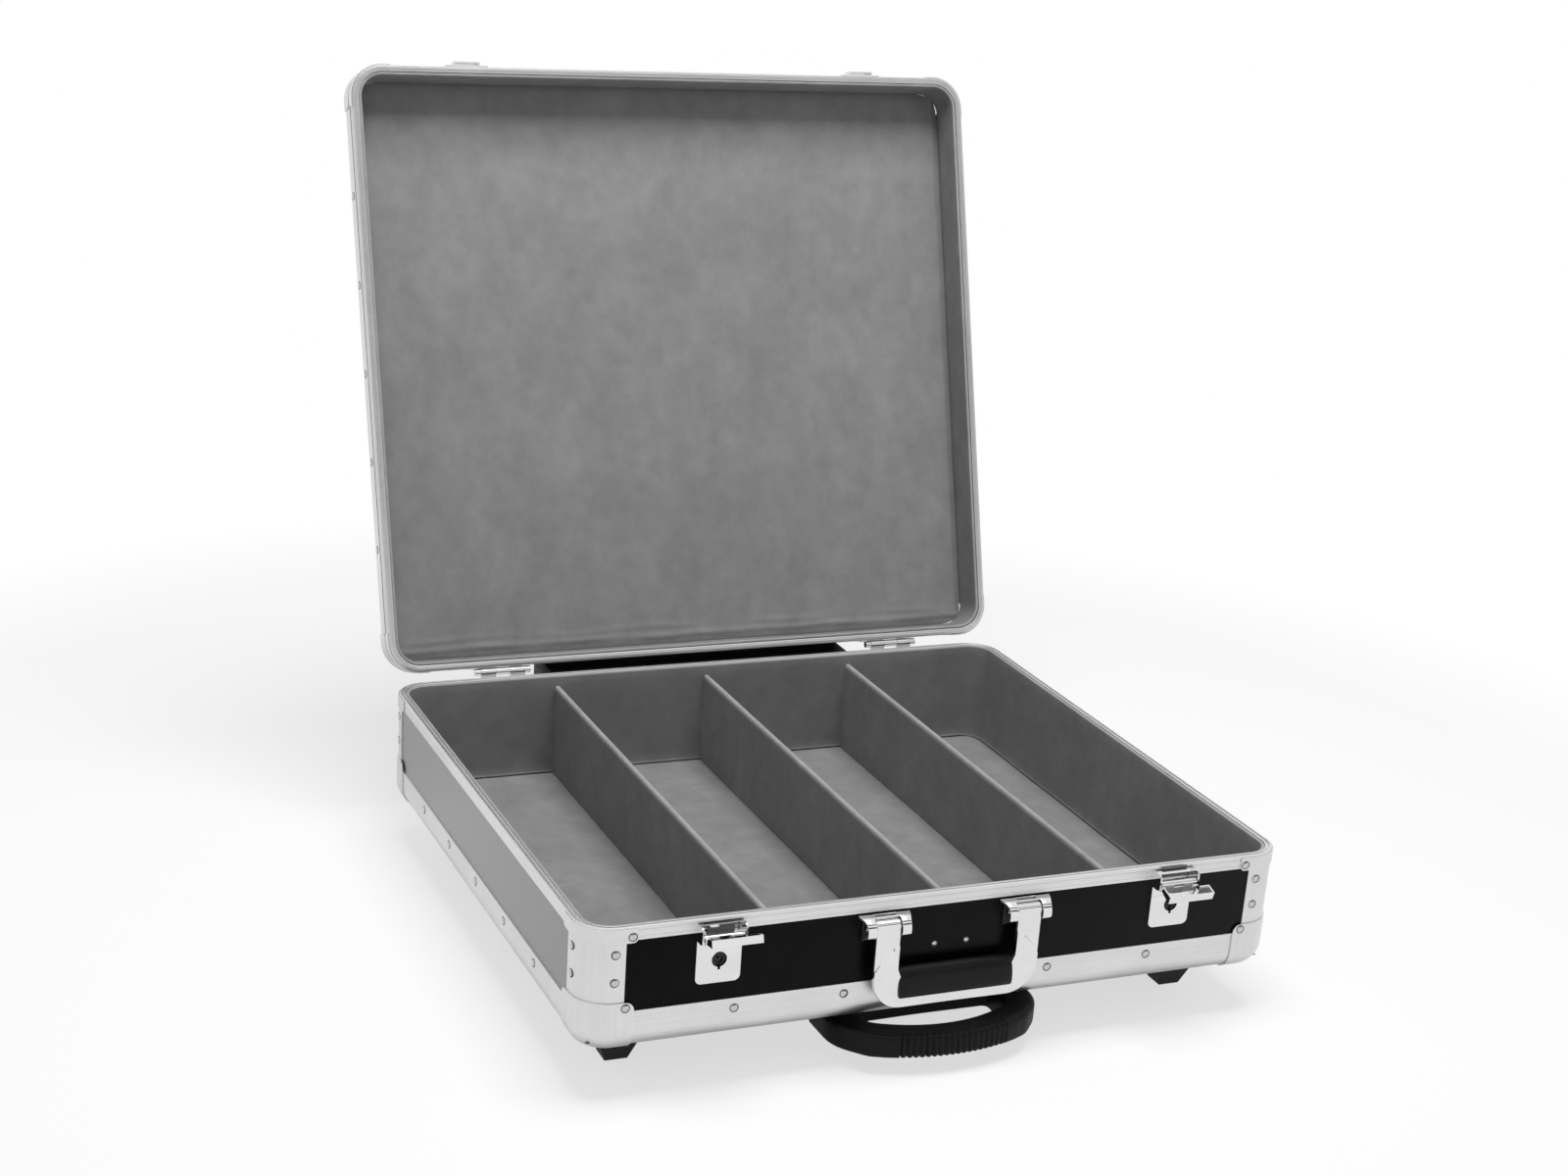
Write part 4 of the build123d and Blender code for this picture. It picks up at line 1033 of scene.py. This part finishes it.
def gripLoops():
    # The outline of the grip and of its slot, as points that face each other
    look = loopLook
    half, back = look["half"], look["back"]
    shoulderX, shoulderY = look["shoulder"]
    arch = bow(shoulderX, shoulderY, look["front"])
    side = (half, look["sideFront"])
    rightBend = softCorner(arch[-1], side, (half, back), look["sideBend"])
    shoulderBend = softCorner(arch[-12], (shoulderX, shoulderY), side, look["shoulderBend"])
    frontPath = mirrored(shoulderBend)[4:] + [p for p in arch if abs(p[0]) < look["archHalf"]] + shoulderBend[:-4]
    backCorner = [(half, back + 5), (half - 1.5, back + 1.5), (half - 5, back)]
    sidePath = shoulderBend[-5:] + rightBend + backCorner
    backPath = [(half - 5, back), (5 - half, back)]
    slotX, slotSide, slotBack = look["slotHalf"], look["slotSide"], look["slotBack"]
    slotArch = bow(slotX - 7, slotSide + 4, look["slotFront"])
    slotEnd = softCorner(slotArch[-1], (slotX, slotSide), (slotX, slotBack), look["slotBends"][0])
    slotEnd += softCorner((slotX, slotSide), (slotX, slotBack), (0, slotBack), look["slotBends"][1])
    slotBackPath = [slotEnd[-1], (-slotEnd[-1][0], slotEnd[-1][1])]
    outerLoop, innerLoop = [], []
    for outerPath, innerPath, count in (
        (frontPath, slotArch, look["frontSteps"]), (sidePath, slotEnd, look["sideSteps"]),
        (backPath, slotBackPath, look["backSteps"]), (mirrored(sidePath), mirrored(slotEnd), look["sideSteps"]),
    ):
        outerLoop += spread(outerPath, count)[:-1]
        innerLoop += spread(innerPath, count)[:-1]
    return outerLoop, innerLoop


def gripProfile():
    # Round the section: (amount, side, height), side -1 from the outline, 1 from the slot, 0 a share between
    top, bottom = loopLook["top"], loopLook["bottom"]
    ro, ri = loopLook["outerRound"], loopLook["innerRound"]
    profile = [(0, -1, (top + bottom) / 2), (0, -1, top - ro)]
    for step in range(1, 6):
        turn = math.pi / 2 * step / 5
        profile.append((ro * (1 - math.cos(turn)), -1, top - ro * (1 - math.sin(turn))))
    profile += [(0.35, 0, top), (0.7, 0, top)]
    for step in range(5):
        turn = math.pi / 2 * step / 4
        profile.append((ri * (1 - math.sin(turn)), 1, top - ri * (1 - math.cos(turn))))
    return profile + [(amount, side, top + bottom - z) for amount, side, z in profile[:0:-1]]


def addTrolleyGrip():
    look = loopLook
    profile = gripProfile()
    outerLoop, innerLoop = gripLoops()
    middleZ = (look["top"] + look["bottom"]) / 2
    fadeFrom, fadeLength = look["ribFade"]
    points = []
    for (ox, oy), (ix, iy) in zip(outerLoop, innerLoop):
        width = math.dist((ox, oy), (ix, iy))
        groove = 0.0
        if abs(ox) < look["ribSpan"] / 2 and oy > look["sideFront"]:
            phase = (ox / look["ribSpan"] + 0.5) * look["ribs"]
            groove = look["ribDepth"] * (1 - abs(math.sin(math.pi * phase)) ** 0.6)
        for amount, side, z in profile:
            along = amount if side == -1 else (width * amount if side == 0 else width - amount)
            fade = max(0.0, 1 - max(0.0, along - fadeFrom) / fadeLength)
            along += groove * fade if along < width / 2 else 0.0
            share = along / width
            if along < width / 2 and amount > 0:
                z -= math.copysign(groove * look["ribRise"] * fade, z - middleZ)
            points.append(onBase(ox + (ix - ox) * share, -(oy + (iy - oy) * share), z))
    faces = loopFaces(len(outerLoop), len(profile), True, True, True)
    grip = addPiece("trolley_grip_moulding", points, faces, trolleyPlastic, "trolley_handle", 0)
    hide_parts("trolley_grip")


addTrolleyGrip()
print("trolley grip made")

# Thin dark rings round the rivets' heads: painted shade in the pressed dimple under each head

rivetShadeLook = {"width": 0.5, "lift": 0.14, "dome": 1.2, "inside": 0.9, "steps": 20, "thickness": 0.03}
# The rings' dark plastic is painted shade
seamShade = makePlastic("seam_shade", 0.1, 0.6, 400.0, 0.1, 0.2)


def islandsOf(mesh):
    # Corner lists of a mesh's separate solids, grouped by touching places
    places, links = {}, []
    for vertex in mesh.vertices:
        links.append(places.setdefault(tuple(round(c, 5) for c in vertex.co), vertex.index))
    parent = list(range(len(mesh.vertices)))

    def root(i):
        while parent[i] != i:
            parent[i] = parent[parent[i]]
            i = parent[i]
        return i

    for index, same in enumerate(links):
        parent[root(index)] = root(same)
    for side in mesh.edges:
        parent[root(side.vertices[0])] = root(side.vertices[1])
    groups = {}
    for vertex in mesh.vertices:
        groups.setdefault(root(vertex.index), []).append(vertex.co.copy())
    return list(groups.values())


def addRivetShadeRings(node, body, back, place):
    # A thin painted-shade ring under each rivet head, found from the solids themselves
    look = rivetShadeLook
    points, faces = [], []
    for group in islandsOf(nodes[node].data):
        group = [(back @ co - rimCentre) * 1000 for co in group]
        low = Vector([min(p[k] for p in group) for k in range(3)])
        high = Vector([max(p[k] for p in group) for k in range(3)])
        middle = (low + high) / 2
        gaps = {0: halfWidth - abs(middle.x), 1: halfDepth - abs(middle.y)}
        axis = 0 if gaps[0] < gaps[1] else 1
        sign = math.copysign(1, middle[axis])
        surface = (high[axis] if sign > 0 else low[axis]) - sign * (look["dome"] - look["lift"])
        size = (high[1 - axis] - low[1 - axis]) / 2
        start = len(points)
        for radius in (size * look["inside"], size + look["width"]):
            for step in range(look["steps"]):
                turn = math.tau * step / look["steps"]
                spot = Vector((0, 0, middle.z + radius * math.sin(turn)))
                spot[axis] = surface
                spot[1 - axis] = middle[1 - axis] + radius * math.cos(turn)
                points.append(place(*spot))
        flip = (sign > 0) == (axis == 1)
        faces += [tuple(i + start for i in face) for face in loopFaces(2, look["steps"], False, True, flip)]
    ring = addPiece(node + "_shade_rings", points, faces, seamShade, body, 0)
    sheet = ring.modifiers.new("sheet", "SOLIDIFY")
    sheet.thickness = look["thickness"] / 1000


addRivetShadeRings("base_rivets", "base", Matrix.Identity(4), onBase)
addRivetShadeRings("lid_rivets", "lid", lidOpened.inverted(), onLid)
print("rivet seams made")

# Floor, light and camera

stageLook = {
    "floorSize": 14.0, "floorDrop": 0.0005, "floorTone": 0.93, "floorWhite": 0.66, "mirrorWhite": 0.3,
    "whiteFrom": 0.4, "whiteTo": 1.2, "ambient": 0.33, "keyPlace": (0.0, -0.35, 2.5), "keyAim": (0, 0, 0.1),
    "keySize": (1.5, 1.0), "keyPower": 50.0, "boxGlow": 2.2, "boxSize": (1.1, 0.8), "boxRise": 0.05,
}
flagLook = {"tone": 0.02, "lean": 0.2, "boards": [((-1.5, 4.0), -2.6, (1.25, 1.75)), ((-2.5, 3.0), -2.0, (2.6, 3.2))]}


def addFlat(name, corners, **values):
    # One plain face of the stage with its own material
    mesh = bpy.data.meshes.new(name)
    mesh.from_pydata(corners, [], [(0, 1, 2, 3)])
    flat = bpy.data.objects.new(name, mesh)
    bpy.context.scene.collection.objects.link(flat)
    material, tree, shader = newMaterial(name, **values)
    mesh.materials.append(material)
    return flat, tree, shader


def backgroundRays(tree):
    # Rays from the camera, and those too that metal mirrors or glass lets through
    path = tree.nodes.new("ShaderNodeLightPath")
    camera = path.outputs["Is Camera Ray"]
    seen = combine(tree, "MAXIMUM", camera, path.outputs["Is Glossy Ray"])
    return camera, combine(tree, "MAXIMUM", seen, path.outputs["Is Transmission Ray"])


def addFloor():
    # A pale floor that keeps the shadow near the case and turns plain white farther out
    look = stageLook
    size, tone = look["floorSize"], look["floorTone"]
    corners = [(-size, -size, 0), (size, -size, 0), (size, size, 0), (-size, size, 0)]
    floor, tree, shader = addFlat("studio_floor", corners, Roughness=0.9, Base_Color=(tone, tone, tone, 1),
                                  Specular_IOR_Level=0.0)
    floor.location.z = -look["floorDrop"]
    camera, seen = backgroundRays(tree)
    near = combine(tree, "MAXIMUM", combine(tree, "MULTIPLY", seen, look["mirrorWhite"]),
                   combine(tree, "MULTIPLY", camera, look["floorWhite"]))
    away = addNode(tree, "ShaderNodeVectorMath", operation="LENGTH")
    tree.links.new(addNode(tree, "ShaderNodeTexCoord").outputs["Object"], away.inputs[0])
    far = addNode(tree, "ShaderNodeMapRange")
    far.inputs["From Min"].default_value = look["whiteFrom"]
    far.inputs["From Max"].default_value = look["whiteTo"]
    tree.links.new(away.outputs["Value"], far.inputs["Value"])
    share = combine(tree, "MAXIMUM", near, combine(tree, "MULTIPLY", far.outputs["Result"], seen))
    glow = tree.nodes.new("ShaderNodeEmission")
    glow.inputs["Color"].default_value = (1, 1, 1, 1)
    mixSurfaces(tree, share, shader.outputs[0], glow.outputs[0])


def addWorld():
    world = bpy.data.worlds.new("studio")
    bpy.context.scene.world = world
    world.use_nodes = True
    tree = world.node_tree
    tree.nodes.clear()
    tree.nodes.new("ShaderNodeOutputWorld")
    ambient = addNode(tree, "ShaderNodeBackground", Strength=stageLook["ambient"])
    white = addNode(tree, "ShaderNodeBackground", Strength=1.0)
    for shade in (ambient, white):
        shade.inputs["Color"].default_value = (1, 1, 1, 1)
    mixSurfaces(tree, backgroundRays(tree)[1], ambient.outputs[0], white.outputs[0])


def addKeyLamp():
    # The softbox above the case, left out of reflections, where addMirrored gives it a gentler face
    look = stageLook
    lamp = bpy.data.lights.new("overhead_softbox", "AREA")
    lamp.shape = "RECTANGLE"
    lamp.size, lamp.size_y = look["keySize"]
    lamp.energy = look["keyPower"]
    holder = bpy.data.objects.new("overhead_softbox", lamp)
    bpy.context.scene.collection.objects.link(holder)
    holder.location = look["keyPlace"]
    aim = Vector(look["keyAim"]) - Vector(look["keyPlace"])
    holder.rotation_euler = aim.to_track_quat("-Z", "Y").to_euler()
    holder.visible_glossy = False


def addMirrored(name, corners, **values):
    # A board that only glossy surfaces see
    board = addFlat(name, corners, **values)[0]
    board.visible_camera = board.visible_diffuse = board.visible_shadow = board.visible_transmission = False


addFloor()
addWorld()
addKeyLamp()
keyX, keyY, keyZ = stageLook["keyPlace"]
boxX, boxY = stageLook["boxSize"]
boxCorners = [(keyX + sx * boxX, keyY + sy * boxY, keyZ + stageLook["boxRise"])
              for sx, sy in ((-1, 1), (1, 1), (1, -1), (-1, -1))]
addMirrored("softbox_face", boxCorners, Base_Color=(0, 0, 0, 1), Emission_Color=(1, 1, 1, 1),
            Emission_Strength=stageLook["boxGlow"])
for number, ((left, right), y, (low, high)) in enumerate(flagLook["boards"]):
    back, tone = y + flagLook["lean"], flagLook["tone"]
    addMirrored(f"flag_{number + 1}", [(left, y, low), (right, y, low), (right, back, high), (left, back, high)],
                Roughness=1.0, Base_Color=(tone, tone, tone, 1), Specular_IOR_Level=0.0)

cameraLook = {
    "azimuth": -25.033, "elevation": 21.217, "roll": 4.347, "focal": 2599.9, "width": 1600.0,
    "offset": (33.36, 179.2), "place": (-877.2, -1878.4, 804.8), "sensor": 36.0, "clipEnd": 50.0,
}


def addCamera():
    look = cameraLook
    a, b, c = (math.radians(look[key]) for key in ("azimuth", "elevation", "roll"))
    level = Vector((math.cos(a), math.sin(a), 0))
    back = Vector((math.sin(a) * math.cos(b), -math.cos(a) * math.cos(b), math.sin(b)))
    upright = back.cross(level)
    right = math.cos(c) * level + math.sin(c) * upright
    up = -math.sin(c) * level + math.cos(c) * upright
    data = bpy.data.cameras.new("view")
    data.sensor_width = look["sensor"]
    data.lens = look["focal"] / look["width"] * data.sensor_width
    data.shift_x = -look["offset"][0] / look["width"]
    data.shift_y = look["offset"][1] / look["width"]
    data.clip_end = look["clipEnd"]
    camera = bpy.data.objects.new("view", data)
    bpy.context.scene.collection.objects.link(camera)
    turn = Matrix((right, up, back)).transposed().to_4x4()
    camera.matrix_world = Matrix.Translation(onBase(*look["place"])) @ turn
    bpy.context.scene.camera = camera


addCamera()
bpy.context.scene.view_settings.view_transform = "Standard"
print("stage, lamps and camera made")
